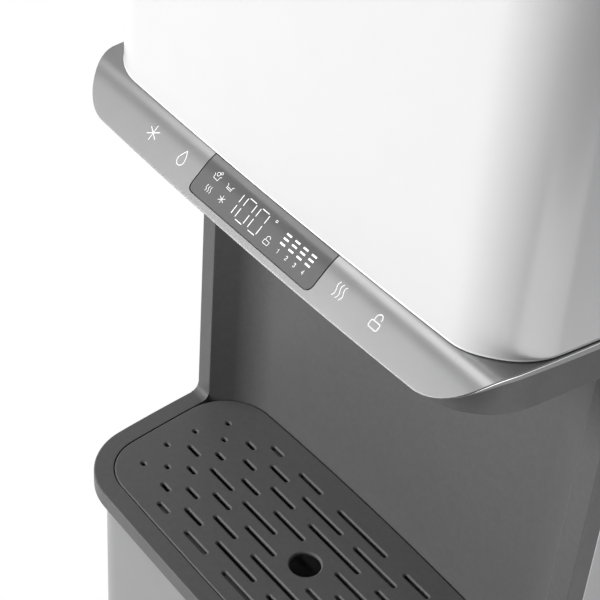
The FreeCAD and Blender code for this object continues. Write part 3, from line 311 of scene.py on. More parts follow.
def meshOf(name, shape):
    mesh = bpy.data.meshes.new(name)
    mesh.from_pydata([(x * mm, y * mm, z * mm) for x, y, z in shape[0]], [], shape[1])
    return mesh


def cleanMesh(mesh):
    with editing(mesh) as work:
        bmesh.ops.remove_doubles(work, verts=work.verts[:], dist=cleaning["weld"])
        bmesh.ops.dissolve_degenerate(work, edges=work.edges[:], dist=cleaning["shortEdge"])
        bmesh.ops.recalc_face_normals(work, faces=work.faces[:])
    return mesh


def placed(name, data):
    holder = bpy.data.objects.new(name, data)
    bpy.context.scene.collection.objects.link(holder)
    return holder


def bakedMesh(holder):
    # mesh of an object with its modifiers or its curve settings worked in
    bpy.context.view_layer.update()
    return bpy.data.meshes.new_from_object(holder.evaluated_get(bpy.context.evaluated_depsgraph_get()))


def cutMesh(holder, shape, selfCut=False):
    # an object's mesh with a closed shape's space taken out, for good
    cutter = placed("cutter", cleanMesh(meshOf("cutter", shape)))
    cut = holder.modifiers.new("cut", "BOOLEAN")
    cut.operation, cut.solver, cut.use_self, cut.object = "DIFFERENCE", "EXACT", selfCut, cutter
    result = bakedMesh(holder)
    holder.modifiers.remove(cut)
    bpy.data.objects.remove(cutter)
    return result


def keepFlat(mesh, axis):
    # a plate's flat sides stay evenly lit up to their rounded edges
    with editing(mesh) as work:
        for edge in work.edges:
            level = [abs(face.normal[axis]) > cleaning["flatNormal"] for face in edge.link_faces]
            edge.smooth = edge.smooth and all(level) == any(level)


def finishPiece(name, mesh, node=None, slot=None, finish=None, body="machine", sharp=38.0, weighted=True,
                flat=None):
    # one named piece that rides on a body and may stand for a CAD node, whose slot and finish it then takes
    # flat is a plate's thickness axis
    slot = slot or slotOf[node]
    cleanMesh(mesh)
    mesh.shade_smooth()
    mesh.set_sharp_from_angle(angle=math.radians(sharp))
    if flat is not None:
        keepFlat(mesh, flat)
    mesh.materials.append(finishes[finish or slot])
    piece = placed(name, mesh)
    if weighted:
        piece.modifiers.new("evenNormals", "WEIGHTED_NORMAL").keep_sharp = True
    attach(piece, body)
    if node:
        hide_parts(node)
    return piece


def addPiece(name, shape, node=None, trim=None, **settings):
    # trim is a second finish for the first faces of a swept section, as (finish, section's size, last face)
    mesh = meshOf(name, shape)
    if trim:
        for polygon in mesh.polygons:
            polygon.material_index = int(polygon.index % trim[1] <= trim[2])
    piece = finishPiece(name, mesh, node, **settings)
    if trim:
        mesh.materials.append(finishes[trim[0]])
    return piece


def addPlate(name, outlines, thickness, edge, place, node=None, turn=None, **settings):
    # flat plate with holes and rounded edges from closed (x, y) outlines; its top lies at the place
    curve = bpy.data.curves.new(name, "CURVE")
    curve.dimensions = "2D"
    curve.fill_mode = "BOTH"
    for outline in outlines:
        spline = curve.splines.new("POLY")
        spline.points.add(len(outline) - 1)
        for point, (x, y) in zip(spline.points, outline):
            point.co = (x * mm, y * mm, 0, 1)
        spline.use_cyclic_u = True
    curve.extrude = (thickness / 2 - edge) * mm
    curve.bevel_depth = edge * mm
    curve.bevel_resolution = 1
    curve.offset = -edge * mm
    holder = placed(name + "Outline", curve)
    mesh = bakedMesh(holder)
    bpy.data.objects.remove(holder)
    mesh.transform(Matrix.Translation((0, 0, -thickness / 2 * mm)))
    if turn:
        mesh.transform(turn)
    mesh.transform(Matrix.Translation(Vector(place) * mm))
    return finishPiece(name, mesh, node, sharp=50.0, weighted=False, flat=1 if turn else 2, **settings)


def softenedNode(node, name, width, body="machine"):
    # copy of a CAD node with rounded edges that stands for it
    mesh = nodes[node].data.copy()
    mesh.name = name
    mesh.materials.clear()
    with editing(mesh) as work:
        bmesh.ops.remove_doubles(work, verts=work.verts[:], dist=cleaning["nodeWeld"])
        bmesh.ops.dissolve_limit(work, angle_limit=math.radians(cleaning["nodeFlat"]), verts=work.verts[:],
                                 edges=work.edges[:])
        corner = math.radians(cleaning["nodeCorner"])
        edges = [edge for edge in work.edges
                 if len(edge.link_faces) == 2 and edge.calc_face_angle(0) > corner]
        bmesh.ops.bevel(work, geom=edges, offset=width * mm, segments=2, profile=0.5, affect="EDGES",
                        clamp_overlap=True)
    if "custom_normal" in mesh.attributes:
        mesh.attributes.remove(mesh.attributes["custom_normal"])
    finishPiece(name, mesh, node, body=body)


# Finishes

def emptyTree(owner, outputKind):
    owner.use_nodes = True
    tree = owner.node_tree
    tree.nodes.clear()
    return tree, tree.nodes.new(outputKind)


def noiseNode(tree, place, size, detail, roughness=0.5):
    # noise whose grain is about size millimetres across
    noise = tree.nodes.new("ShaderNodeTexNoise")
    noise.inputs["Scale"].default_value = 1.0 / (size * mm)
    noise.inputs["Detail"].default_value = detail
    noise.inputs["Roughness"].default_value = roughness
    tree.links.new(place.outputs["Object"], noise.inputs["Vector"])
    return noise.outputs["Fac"]


usualLook = {
    "mottle": 0.03,           # share of lighter and darker spots
    "mottleSize": 4,
    "sheenSpread": 0.05,      # how far the roughness varies
    "sheenSize": 12,
    "grainSize": 0.4,
    "grainDepth": 0.004,
    "metal": 0.0,
    "ior": 1.5,
    "coat": 0.0,
    "coatRoughness": 0.08,
    "glow": 0.0,
}
noiseRange = (0.3, 0.7)       # where most of a noise's values lie


def surfaceFinish(name, look):
    # moulded, painted or rolled surface: mottled colour, uneven sheen and a fine grain
    look = {**usualLook, **look}
    finish = bpy.data.materials.new(name)
    tree, output = emptyTree(finish, "ShaderNodeOutputMaterial")
    shader = tree.nodes.new("ShaderNodeBsdfPrincipled")
    tree.links.new(shader.outputs["BSDF"], output.inputs["Surface"])
    place = tree.nodes.new("ShaderNodeTexCoord")
    colour = Vector(look["colour"])
    tint = tree.nodes.new("ShaderNodeValToRGB")
    for stop, where, sign in zip(tint.color_ramp.elements, noiseRange, (-1, 1)):
        stop.position = where
        stop.color = (*(colour * (1 + sign * look["mottle"])), 1)
    tree.links.new(noiseNode(tree, place, look["mottleSize"], 4.0, 0.55), tint.inputs["Fac"])
    tree.links.new(tint.outputs["Color"], shader.inputs["Base Color"])
    sheen = tree.nodes.new("ShaderNodeMapRange")
    for end, where, sign in zip(("Min", "Max"), noiseRange, (-1, 1)):
        sheen.inputs["From " + end].default_value = where
        sheen.inputs["To " + end].default_value = look["roughness"] + sign * look["sheenSpread"]
    tree.links.new(noiseNode(tree, place, look["sheenSize"], 3.0), sheen.inputs["Value"])
    tree.links.new(sheen.outputs["Result"], shader.inputs["Roughness"])
    bump = tree.nodes.new("ShaderNodeBump")
    bump.inputs["Strength"].default_value = 1.0
    bump.inputs["Distance"].default_value = look["grainDepth"] * mm
    tree.links.new(noiseNode(tree, place, look["grainSize"], 2.0), bump.inputs["Height"])
    tree.links.new(bump.outputs["Normal"], shader.inputs["Normal"])
    shader.inputs["Emission Color"].default_value = (1, 1, 1, 1)
    for socket, key in (("Metallic", "metal"), ("IOR", "ior"), ("Coat Weight", "coat"),
                        ("Coat Roughness", "coatRoughness"), ("Emission Strength", "glow")):
        shader.inputs[socket].default_value = look[key]
    return finish


finishLooks = {
    "white_gloss": {"colour": (0.83, 0.83, 0.83), "mottle": 0.01, "mottleSize": 60, "roughness": 0.22,
                    "sheenSpread": 0.03, "sheenSize": 25, "grainSize": 1.6},
    "silver_panel": {"colour": (0.23, 0.23, 0.232), "mottle": 0.016, "mottleSize": 0.5, "roughness": 0.245,
                     "sheenSpread": 0.015, "sheenSize": 18, "grainSize": 0.35, "metal": 0.6},
    # darker, rougher copy of the panel's silver: painted shade for the flange under the lip and for the lip's
    # edge, whose highlight it dims
    "silver_edge": {"colour": (0.19, 0.19, 0.192), "mottleSize": 0.5, "roughness": 0.34, "sheenSpread": 0.03,
                    "sheenSize": 18, "grainSize": 0.35, "metal": 0.6},
    # light, polished copy of the same silver for the flange's upper edge: a painted highlight line
    "bright_edge": {"colour": (0.72, 0.72, 0.72), "mottle": 0.02, "mottleSize": 6, "roughness": 0.18,
                    "sheenSpread": 0.03, "grainDepth": 0.002, "metal": 1.0},
    "silver_door": {"colour": (0.32, 0.32, 0.323), "mottleSize": 0.6, "roughness": 0.34, "sheenSpread": 0.03,
                    "sheenSize": 22, "metal": 0.6},
    "silver_sheet": {"colour": (0.32, 0.32, 0.323), "mottleSize": 0.6, "roughness": 0.36, "sheenSpread": 0.03,
                     "sheenSize": 22, "metal": 0.6},
    "dark_plastic": {"colour": (0.127, 0.127, 0.129), "mottle": 0.05, "mottleSize": 3, "roughness": 0.45,
                     "grainSize": 0.45, "grainDepth": 0.012, "ior": 1.3},
    "tinted_lens": {"colour": (0.098, 0.098, 0.10), "mottle": 0.02, "mottleSize": 40, "roughness": 0.16,
                    "sheenSpread": 0.03, "sheenSize": 15, "grainSize": 3.0, "grainDepth": 0.001},
    "board_green": {"colour": (0.03, 0.13, 0.06), "mottle": 0.15, "mottleSize": 2.5, "roughness": 0.4,
                    "sheenSpread": 0.06, "sheenSize": 6, "grainSize": 0.8, "grainDepth": 0.01},
    "black_plastic": {"colour": (0.025, 0.025, 0.026), "mottle": 0.1, "roughness": 0.45, "sheenSpread": 0.06,
                      "sheenSize": 10, "grainSize": 0.5, "grainDepth": 0.015},
    "white_plastic": {"colour": (0.72, 0.72, 0.71), "mottle": 0.02, "mottleSize": 20, "roughness": 0.42,
                      "sheenSize": 14, "grainSize": 0.5, "grainDepth": 0.01},
    "soft_rubber": {"colour": (0.022, 0.022, 0.022), "mottle": 0.2, "mottleSize": 3, "roughness": 0.75,
                    "sheenSpread": 0.08, "sheenSize": 5, "grainDepth": 0.03},
    "bare_steel": {"colour": (0.56, 0.56, 0.57), "mottle": 0.05, "mottleSize": 1.2, "roughness": 0.36,
                   "sheenSpread": 0.07, "sheenSize": 6, "grainSize": 0.3, "metal": 1.0},
    "black_enamel": {"colour": (0.012, 0.012, 0.013), "mottle": 0.15, "mottleSize": 8, "roughness": 0.21,
                     "grainSize": 1.2, "grainDepth": 0.02, "coat": 0.3},
    "clear_blue_plastic": {"colour": (0.50, 0.62, 0.74), "mottle": 0.04, "mottleSize": 12, "roughness": 0.35,
                           "sheenSize": 10, "grainSize": 1.0, "grainDepth": 0.01},
    "foam": {"colour": (0.62, 0.56, 0.42), "mottle": 0.10, "mottleSize": 5, "roughness": 0.9, "sheenSize": 5,
             "grainSize": 1.2, "grainDepth": 0.25},
    # the printed ink glows a little: painted light that keeps the signs white
    "sign_ink": {"colour": (0.86, 0.86, 0.86), "mottle": 0.02, "roughness": 0.4, "sheenSize": 5,
                 "grainSize": 0.3, "grainDepth": 0.003, "glow": 0.25},
    "sign_light": {"colour": (0.8, 0.8, 0.8), "mottleSize": 1.5, "roughness": 0.35, "sheenSize": 5,
                   "grainSize": 0.3, "grainDepth": 0.002, "glow": 0.5},
    "galvanised": {"colour": (0.46, 0.47, 0.48), "mottle": 0.12, "mottleSize": 9, "roughness": 0.45,
                   "sheenSpread": 0.10, "sheenSize": 8, "grainSize": 1.0, "grainDepth": 0.008, "metal": 0.9},
}
finishes = {name: surfaceFinish(name + "_finish", look) for name, look in finishLooks.items()}
for nodeName, node in nodes.items():
    node.data.materials.clear()
    node.data.materials.append(finishes[slotOf[nodeName]])
print("finishes made:", len(finishes))


# Sloped panel

band = {
    "lipDepth": 7.4,
    "lipHeight": 239.5,       # over the tray
    "slope": 43.2,
    "shelfHeight": 257.4,
    "rollRadius": 20.0,
    "easeStart": 13.0,
    "step": 0.25,
    "thickness": 2.2,
    "lipRound": 0.22,
    "lipSteps": 6,
    "lipEdge": 0.5,
    "lipChamfer": 0.2,
    "undercut": 2.6,
    "innerInset": 12.0,
    "rows": 56,
}


def bandSection():
    # the face's section from the lip as (run, depth, height, tilt): it bends gently, then evenly to level
    slope, radius, ease = math.radians(band["slope"]), band["rollRadius"], band["easeStart"]
    straight = (band["shelfHeight"] - band["lipHeight"]) / math.sin(slope) - radius * math.tan(slope / 2)
    evenStart, end = 2 * straight - ease, straight + radius * slope
    step = band["step"]
    line = []
    run, depth, height = 0.0, band["lipDepth"], band["lipHeight"]
    while run < end + step:
        if run < ease:
            tilt = slope
        elif run < evenStart:
            tilt = slope - (run - ease) ** 2 / (2 * radius * (evenStart - ease))
        else:
            tilt = max((end - run) / radius, 0.0)
        line.append((run, depth, height, tilt))
        run, depth, height = run + step, depth + step * math.cos(tilt), height + step * math.sin(tilt)
    return line


bandLine = bandSection()
droppedLines = {}


def bandHeight(y, drop=0.0):
    # height of the panel's face, moved inward by drop, over a place y
    if drop not in droppedLines:
        droppedLines[drop] = ([depth + drop * math.sin(tilt) for _, depth, _, tilt in bandLine],
                              [height - drop * math.cos(tilt) for _, _, height, tilt in bandLine])
    depths, heights = droppedLines[drop]
    depth = y + machine["depth"] / 2
    if depth <= depths[0]:
        return overTray(heights[0] - (depths[0] - depth) * math.tan(math.radians(band["slope"])))
    if depth >= depths[-1]:
        return overTray(heights[-1])
    index = bisect.bisect(depths, depth) - 1
    share = (depth - depths[index]) / (depths[index + 1] - depths[index])
    return overTray(heights[index] + (heights[index + 1] - heights[index]) * share)


def bandPoint(x, run, lift=0.0):
    # place on the panel's face: run is counted up the section from the lip
    index = min(int(run / band["step"]), len(bandLine) - 1)
    start, depth, height, tilt = bandLine[index]
    depth += (run - start) * math.cos(tilt)
    height += (run - start) * math.sin(tilt)
    return (x, yAt(depth) - lift * math.sin(tilt), overTray(height) + lift * math.cos(tilt))


def bandRows(start, end, shares, drop=0.0):
    # points on the face, or under it, from one place (x, y) towards another
    (x, y), wide, deep = start, end[0] - start[0], end[1] - start[1]
    rows = [(x + wide * share, y + deep * share) for share in shares]
    return [(*place, bandHeight(place[1], drop)) for place in rows]


def makeBand():
    outer = rearOpenPath(bandPlan)
    inner = rearOpenPath(insetPlan(housingPlan, band["innerInset"]))
    rows, lipSteps, lip, chamfer = band["rows"], band["lipSteps"], band["lipRound"], band["lipChamfer"]
    underRows = rows // 4
    probe = 0.4               # how far inward the face's slope is measured
    verts = []
    for (x, y, outX, outY), innerEnd in zip(outer, inner):
        edgeHeight = bandHeight(y)
        incline = math.atan((bandHeight(y - outY * probe) - edgeHeight) / probe)
        reach = lip / math.tan((math.pi / 2 + incline) / 2)
        # the lip is thin and undercut, so that its edge shows as one fine line
        line = [(x - outX * chamfer, y - outY * chamfer, edgeHeight - band["lipEdge"]),
                (x, y, edgeHeight - band["lipEdge"] + chamfer)]
        for step in range(lipSteps + 1):
            turn = math.pi - (math.pi / 2 - incline) * step / lipSteps
            inset = lip * (1 + math.cos(turn))
            line.append((x - outX * inset, y - outY * inset, edgeHeight - reach + lip * math.sin(turn)))
        start = (x - outX * reach * math.cos(incline), y - outY * reach * math.cos(incline))
        line += bandRows(start, innerEnd, [row / rows for row in range(1, rows + 1)])
        back = (x - outX * band["undercut"], y - outY * band["undercut"])
        line += bandRows(back, innerEnd, [1 - row / underRows for row in range(underRows + 1)],
                         band["thickness"])
        verts += line
    return (verts, ringFaces(len(outer), len(line))), len(line)


window = {
    "halfLength": 44.0,
    "lowRun": 3.9,
    "highRun": 23.9,
    "cornerRadius": 3.0,
    "gap": 0.6,
    "lensThickness": 1.9,
    "cutDepth": 4.0,          # how far the opening's cutter reaches over and under the face
}


def windowEdge(x, grow):
    # lower edge of the window over a place x, with its rounded corners
    half, radius = window["halfLength"] + grow, window["cornerRadius"] + grow
    low = window["lowRun"] - grow
    beyond = abs(x) - (half - radius)
    if beyond <= 0:
        return low
    return low + radius - math.sqrt(max(radius ** 2 - min(beyond, radius) ** 2, 0))


def windowSlab(grow, top, bottom, columns=72, rows=28):
    # slab on the panel's face between two levels above it
    half, high, wide = window["halfLength"] + grow, window["highRun"] + grow, rows + 1
    verts, faces = [], []
    for level in (top, bottom):
        for column in range(columns + 1):
            x = -half * math.cos(math.pi * column / columns)
            low = windowEdge(x, grow)
            verts += [bandPoint(x, low + (high - low) * row / rows, level) for row in range(wide)]
    under = len(verts) // 2
    for start in (0, under):
        corners = [start + column * wide + row for column in range(columns) for row in range(rows)]
        faces += [(here, here + 1, here + wide + 1, here + wide) for here in corners]
    border = [*range(wide), *range(wide + rows, under, wide), *range(under - 2, columns * wide - 1, -1),
              *range((columns - 1) * wide, 0, -wide)]
    for here, there in zip(border, border[1:] + border[:1]):
        faces.append((here, there, under + there, under + here))
    return verts, faces


flange = {
    "wall": 1.8,
    "rootFront": 2.4,         # top of the flange under the panel's face, at the front and at the sides
    "rootSide": 0.5,
    "leanFront": 2.2,         # how far its lower edge leans inward at the front
    "sideStart": 132.0,
    "sideEnd": 150.2,
    "drop": 5.0,
    "edge": 0.4,
    # height of the polished strip on the flange's upper edge, a painted highlight line
    "brightLine": 0.5,
    "brightLeast": 0.1,       # share of the painted highlight line that is left at the front
    "backDepth": 316.0,
}


def makeFlange():
    # turned-down edge under the lip, whose lower edge keeps an even drop under the face
    low, wall, edge = (flange[key] for key in ("drop", "wall", "edge"))

    def section(x, y):
        share = (abs(x) - flange["sideStart"]) / (flange["sideEnd"] - flange["sideStart"])
        share = min(max(share, 0.0), 1.0)
        root = flange["rootFront"] + (flange["rootSide"] - flange["rootFront"]) * share
        lean = flange["leanFront"] * (1 - share)
        # the polished strip on top is a painted highlight line, narrower towards the front
        highlight = flange["brightLine"] * max(share, flange["brightLeast"])
        return [(0, root + highlight), (0, root), (wall, root), (wall + lean, low), (edge + lean, low),
                (0.3 * edge + lean, low - 0.3 * edge), (lean, low - edge)]

    path = openPath(flangePlan, endDepth=flange["backDepth"])
    return sweep(path, section, place=bandHeight), len(section(0, 0))


bandShape, sectionSize = makeBand()
# the lip's edge takes the darker copy of the silver: painted shade that dims its highlight
bandPiece = addPiece("sloped_panel", bandShape, "control_band", weighted=False,
                     trim=("silver_edge", sectionSize, band["lipSteps"]))
opening = windowSlab(window["gap"], window["cutDepth"], -window["cutDepth"], columns=40, rows=8)
bandPiece.data = cutMesh(bandPiece, opening)
bandPiece.data.set_sharp_from_angle(angle=math.radians(38))
flangeShape, sectionSize = makeFlange()
# the flange takes the darker silver as painted shade, and its upper edge the polished one as a painted
# highlight
addPiece("panel_flange", flangeShape, slot="silver_panel", finish="silver_edge", weighted=False,
         trim=("bright_edge", sectionSize, 0))
addPiece("display_lens", windowSlab(0.0, 0.0, -window["lensThickness"]), "display_window", weighted=False)
print("sloped panel and lens made")


# Head shell and lid

housing = {
    "gap": 0.55,
    "thickness": 2.5,
    "bead": 0.28,             # fine bead round the shell's lower edge
    "beadHeight": 0.7,
    "seamHeight": 1156.0,
    "lidRoll": 3.0,
    "lidSeam": 0.5,
    "lidBorder": 14.0,
    "lidStep": 0.8,
    "ribInset": 2.9,
    "ribDepth": 8.0,
    "ribWidth": 2.5,
    "ribEnd": 108.0,
}


def makeHousing():
    thick, top, bead, high = (housing[key] for key in ("thickness", "seamHeight", "bead", "beadHeight"))
    section = [(0.15, 0), (-0.7 * bead, 0.12), (-bead, 0.35)]
    section += [(-bead, high - 0.35), (-0.7 * bead, high - 0.12), (0, high)]
    section += rounded([(0, top), (thick, top), (thick, 0.4), (thick - 0.4, 0)], [0.5, 0.3, 0, 0])

    def place(y, height):
        # the lower edge follows the panel's face
        return height if height > top / 2 else bandHeight(y) + housing["gap"] + height

    return sweep(rearOpenPath(housingPlan), section, place=place)


def makeLid():
    # lid with a rolled edge, a shallow step round its top and a locating rib inside the shell
    top, roll, low = machine["height"], housing["lidRoll"], housing["seamHeight"]
    border, step, seam = housing["lidBorder"], housing["lidStep"], low + housing["lidSeam"]
    section = [(border + 1.6, top - step), (border + 1.0, top - step), (border + 0.6, top - 0.6 * step),
               (border + 0.2, top - 0.1 * step), (border - 0.4, top)]
    section += arc(roll, top - roll, roll, 90, 180, 8)
    section += [(0, seam + 0.3), (0.3, seam), (2.2, seam), (2.2, low), (3.0, low)]
    foot, width = low - housing["ribDepth"], housing["ribWidth"]
    rib = [(0, low + 0.5), (0, foot), (width, foot), (width, low + 0.5)]
    ribPath = openPath(insetPlan(housingPlan, housing["ribInset"]), endX=housing["ribEnd"])
    return joined([capped(closedPath(housingPlan), section), sweep(ribPath, rib)])


addPiece("head_shell", makeHousing(), "upper_housing")
addPiece("head_lid", makeLid(), "top_cover", weighted=False)
print("head shell and lid made")


# Casing under the head

casing = {
    "gap": 0.6,               # under the panel
    "wall": 2.5,
    "edge": 1.2,
    "bottom": 229.1,
    "floorWidth": 14.0,
    "floorInset": 13.0,
    "floorEdge": 0.3,
    "nozzleDepth": 62.1,
    "nozzleHole": 17.3,
    "duct": (-60.0, 60.0, yAt(180.0), yAt(300.0)),
    "ductCorner": 8.0,
}


def makeSkirt():
    low, wall, reach = overTray(casing["bottom"]), casing["wall"], casing["floorWidth"]
    section = rounded([(0, low), (0, low + 20), (wall, low + 20), (wall, low + wall), (reach, low + wall),
                       (reach, low)], [casing["edge"], 0, 0, 0, 0, 0])

    def place(y, height):
        # the upper edge follows the panel's underside
        return bandHeight(y, band["thickness"] + casing["gap"]) if height > low + 10 else height

    return sweep(rearOpenPath(skirtPlan), section, place=place)


addPiece("head_casing", makeSkirt(), "head_lower_casing")
floorOutlines = [outlineOf(closedPath(insetPlan(skirtPlan, casing["floorInset"]))),
                 circle(0, yAt(casing["nozzleDepth"]), casing["nozzleHole"]),
                 roundedRectangle(*casing["duct"], [casing["ductCorner"]] * 4)]
addPlate("head_casing_floor", floorOutlines, casing["wall"], casing["floorEdge"],
         (0, 0, overTray(casing["bottom"]) + casing["wall"]), slot="dark_plastic")
print("casing under the head made")


# Platform, side posts and recess

platform = {
    "rimWidth": 11.2,
    "fascia": 10.24,
    "rimRound": 1.0,
    "grooveRound": 0.35,
    "postFront": 94.6,
    "postBack": 105.2,
    "postRound": 0.9,
    "footFillet": 5.0,
    "footOverlap": 0.8,
    "footSink": 0.4,
    "recessHeight": 229.1,
    "recessFoot": 8.0,
    "wall": 2.5,
    "seatDrop": 5.5,
    "ledgeInset": 11.5,
}


def makeRim():
    top, width, wall = overTray(0), platform["rimWidth"], platform["wall"]
    foot, seat, ledge = top - platform["fascia"], top - platform["seatDrop"], width + platform["ledgeInset"]
    inner = width - wall
    corners = [(0, foot), (0, top), (width, top), (width, seat), (ledge, seat), (ledge, seat - wall),
               (inner, seat - wall), (inner, top - wall), (wall, top - wall), (wall, foot)]
    radii = [0.6, platform["rimRound"], platform["grooveRound"], 0.2, 0.3, 0, 0, 0, 0, 0.3]
    return sweep(openPath(rimPlan, endDepth=platform["postBack"]), rounded(corners, radii, steps=5))


def makeRecess():
    # posts and concave wall as one upright moulding
    front, back, edge = platform["postFront"], platform["postBack"], platform["postRound"]
    path = halfPath(grillePlan)
    inner = [point for point in outlineOf(path) if point[1] > yAt(front) + 1.5]
    behind = [point for point in outlineOf(path, -platform["wall"]) if point[1] > yAt(back)]
    corners = [(sideAt(rimPlan, back), yAt(back)), (sideAt(rimPlan, front), yAt(front)),
               (sideAt(grillePlan, front), yAt(front)), inner[2]]
    right = rounded(corners, [0, edge, edge, 0], steps=5)[:-1] + inner[2:]
    outline = right + [(-x, y) for x, y in right[-2::-1]] + [(-x, y) for x, y in behind] + behind[-2::-1]
    return upright(outline, overTray(-platform["recessFoot"]), overTray(platform["recessHeight"]))


def makePostFoot():
    # small curve where the platform turns up into a post, as (depth, height) points
    radius, front, sink = platform["footFillet"], platform["postFront"], platform["footSink"]
    curve = arc(front - radius, radius, radius, 270, 360, 8)
    behind = front + platform["footOverlap"]
    profile = curve + [(behind, radius), (behind, -sink), (front - radius, -sink)]
    rings = []
    for p, clear in ((grillePlan, 0.05), (rimPlan, -0.25)):
        rings.append([(sideAt(p, min(depth, front)) + clear, yAt(depth), overTray(height))
                      for depth, height in profile])
    return between(*rings)


foot = makePostFoot()
addPiece("recess_moulding", joined([makeRim(), makeRecess(), foot, flipped(foot)]), "niche_liner")
print("platform and recess made")


# Drip grille

grille = {
    "thickness": 2.8,
    "gap": 0.4,
    "edge": 0.9,
    "slotWidth": 2.1,
    "rowPitch": 9.86,
    "middleDepth": 62.1,
    "cupMark": 8.7,
    # slots of each row, counted from the middle one, as (near end, far end); they repeat on the other side
    "rows": {
        4: [(72.6, 82.0), (36.3, 55.7), (-20.6, 20.6)],
        3: [(110.6, 113.6), (86.2, 93.2), (54.9, 69.9), (5.9, 39.9)],
        2: [(100.9, 103.9), (72.7, 82.4), (36.3, 56.1), (-21.4, 21.4)],
        1: [(115.9, 118.9), (89.2, 95.9), (55.8, 70.6), (14.4, 40.2)],
        0: [(99.6, 109.6), (66.9, 87.2), (26.9, 55.8)],
    },
}


def grilleHoles():
    middle, radius = yAt(grille["middleDepth"]), grille["slotWidth"] / 2
    yield circle(0, middle, grille["cupMark"])
    for row in range(-4, 5):
        y = middle + row * grille["rowPitch"]
        for near, far in grille["rows"][abs(row)]:
            for side in ((1,) if near < 0 else (1, -1)):
                low, high = sorted((near * side, far * side))
                yield arc(high - radius, y, radius, -90, 90, 8) + arc(low + radius, y, radius, 90, 270, 8)


addPlate("slotted_grille", [outlineOf(closedPath(insetPlan(grillePlan, grille["gap"]))), *grilleHoles()],
         grille["thickness"], grille["edge"], (0, 0, overTray(0)), "drip_grille", body="grille")
print("grille made")


# Signs on the panel and in the window

signs = {
    "stroke": 0.43,
    "digitStroke": 0.41,
    "fineStroke": 0.22,
    "inkHeight": 0.05,
    "inkRoot": 0.12,
    "displayLevel": 0.05,
    "numberHeight": 1.9,
    "numberWidth": 1.0,
    "barThickness": 0.88,
    "barLength": 3.2,
}


def smoothed(points, steps=5):
    # soft curve through a few points
    last = len(points) - 1
    result = []
    for index in range(last):
        near = [Vector(points[min(max(index + shift, 0), last)]) for shift in (-1, 0, 1, 2)]
        for step in range(steps):
            t = step / steps
            result.append(0.5 * (2 * near[1] + (near[2] - near[0]) * t
                                 + (2 * near[0] - 5 * near[1] + 4 * near[2] - near[3]) * t ** 2
                                 + (3 * near[1] - near[0] - 3 * near[2] + near[3]) * t ** 3))
    return result + [Vector(points[-1])]


def stroke(points, width, level=0.0, closed=False, roundEnds=True):
    # inked line of even width lying on the panel's face; its points are (x, run)
    points = [Vector(point) for point in points]
    half, last = width / 2, len(points) - 1
    stations = []
    for index, here in enumerate(points):
        before = here - points[index - 1] if closed or index else Vector((0, 0))
        after = points[(index + 1) % len(points)] - here if closed or index < last else Vector((0, 0))
        before.normalize()
        after.normalize()
        along = (before + after).normalized()
        across = Vector((-along.y, along.x))
        turnShare = max(abs(along.dot(after if after.length else before)), 0.6)
        stations.append((here, across * half / turnShare))
    if roundEnds and not closed:
        start, end = (points[1] - points[0]).normalized(), (points[-1] - points[-2]).normalized()
        caps = [(math.cos(math.radians(turn)) * half, math.sin(math.radians(turn)))
                for turn in (12, 38, 64)]
        stations = [(points[0] - start * reach, stations[0][1] * share) for reach, share in caps] + stations
        stations += [(points[-1] + end * reach, stations[-1][1] * share) for reach, share in caps[::-1]]
    high, low = level + signs["inkHeight"], level - signs["inkRoot"]
    verts = []
    for here, across in stations:
        corners = ((here + across, high), (here - across, high), (here - across, low), (here + across, low))
        verts += [bandPoint(*place, lift) for place, lift in corners]
    return verts, ringFaces(len(stations), 4, closed)


def flakeStrokes(centre, tips, width, level):
    # six-armed flake, its tips in order round the centre
    return [stroke([tips[arm], centre, tips[arm + 3]], width, level) for arm in range(3)]


def touchSigns():
    # chilled, room temperature, hot and lock
    width = signs["stroke"]
    shapes = flakeStrokes((-81.5, 12.7), [(-84.9, 14.5), (-81.6, 16.5), (-78.3, 14.7), (-78.2, 10.7),
                                          (-81.4, 8.9), (-84.7, 10.9)], width, 0.0)
    drop = [(-57.75, 16.4), (-59.3, 13.6), (-60.0, 11.4), (-59.2, 9.6), (-57.6, 8.9), (-56.0, 9.6),
            (-55.3, 11.4), (-56.1, 13.8), (-57.65, 16.4)]
    shackle = [(78.9, 12.9), (79.0, 15.0), (79.6, 15.9), (80.6, 16.4), (81.6, 16.0), (82.2, 15.0),
               (82.2, 14.2)]
    lockBody = rounded([(77.9, 12.7), (77.9, 9.6), (83.1, 9.5), (83.2, 12.8)], [0.7] * 4, steps=3)
    waves = [
        [(54.5, 16.1), (53.9, 14.8), (54.1, 13.6), (54.6, 12.5), (55.0, 11.3), (54.9, 10.4), (54.4, 9.4)],
        [(56.8, 16.0), (56.2, 14.9), (56.3, 13.7), (56.8, 12.6), (57.3, 11.4), (57.2, 10.3), (56.6, 9.4)],
        [(59.0, 15.9), (58.4, 14.9), (58.5, 13.8), (59.0, 12.8), (59.5, 11.7), (59.4, 10.6), (58.8, 9.5)],
    ]
    shapes += [stroke(smoothed(line), width) for line in (drop, shackle)]
    shapes += [stroke(lockBody, width, closed=True)]
    return joined(shapes + [stroke(smoothed(wave), width * 0.85) for wave in waves])


numberLines = {
    1: [(0.1, 0.75), (0.55, 1.0), (0.55, 0.0)],
    2: [(0.0, 0.78), (0.15, 0.95), (0.5, 1.0), (0.85, 0.95), (1.0, 0.74), (0.85, 0.5), (0.0, 0.0),
        (1.0, 0.0)],
    3: [(0.0, 0.85), (0.3, 1.0), (0.75, 0.98), (0.95, 0.76), (0.45, 0.54), (1.0, 0.3), (0.75, 0.03),
        (0.3, 0.0), (0.0, 0.14)],
    4: [(0.75, 0.0), (0.75, 1.0), (0.0, 0.3), (1.05, 0.3)],
}


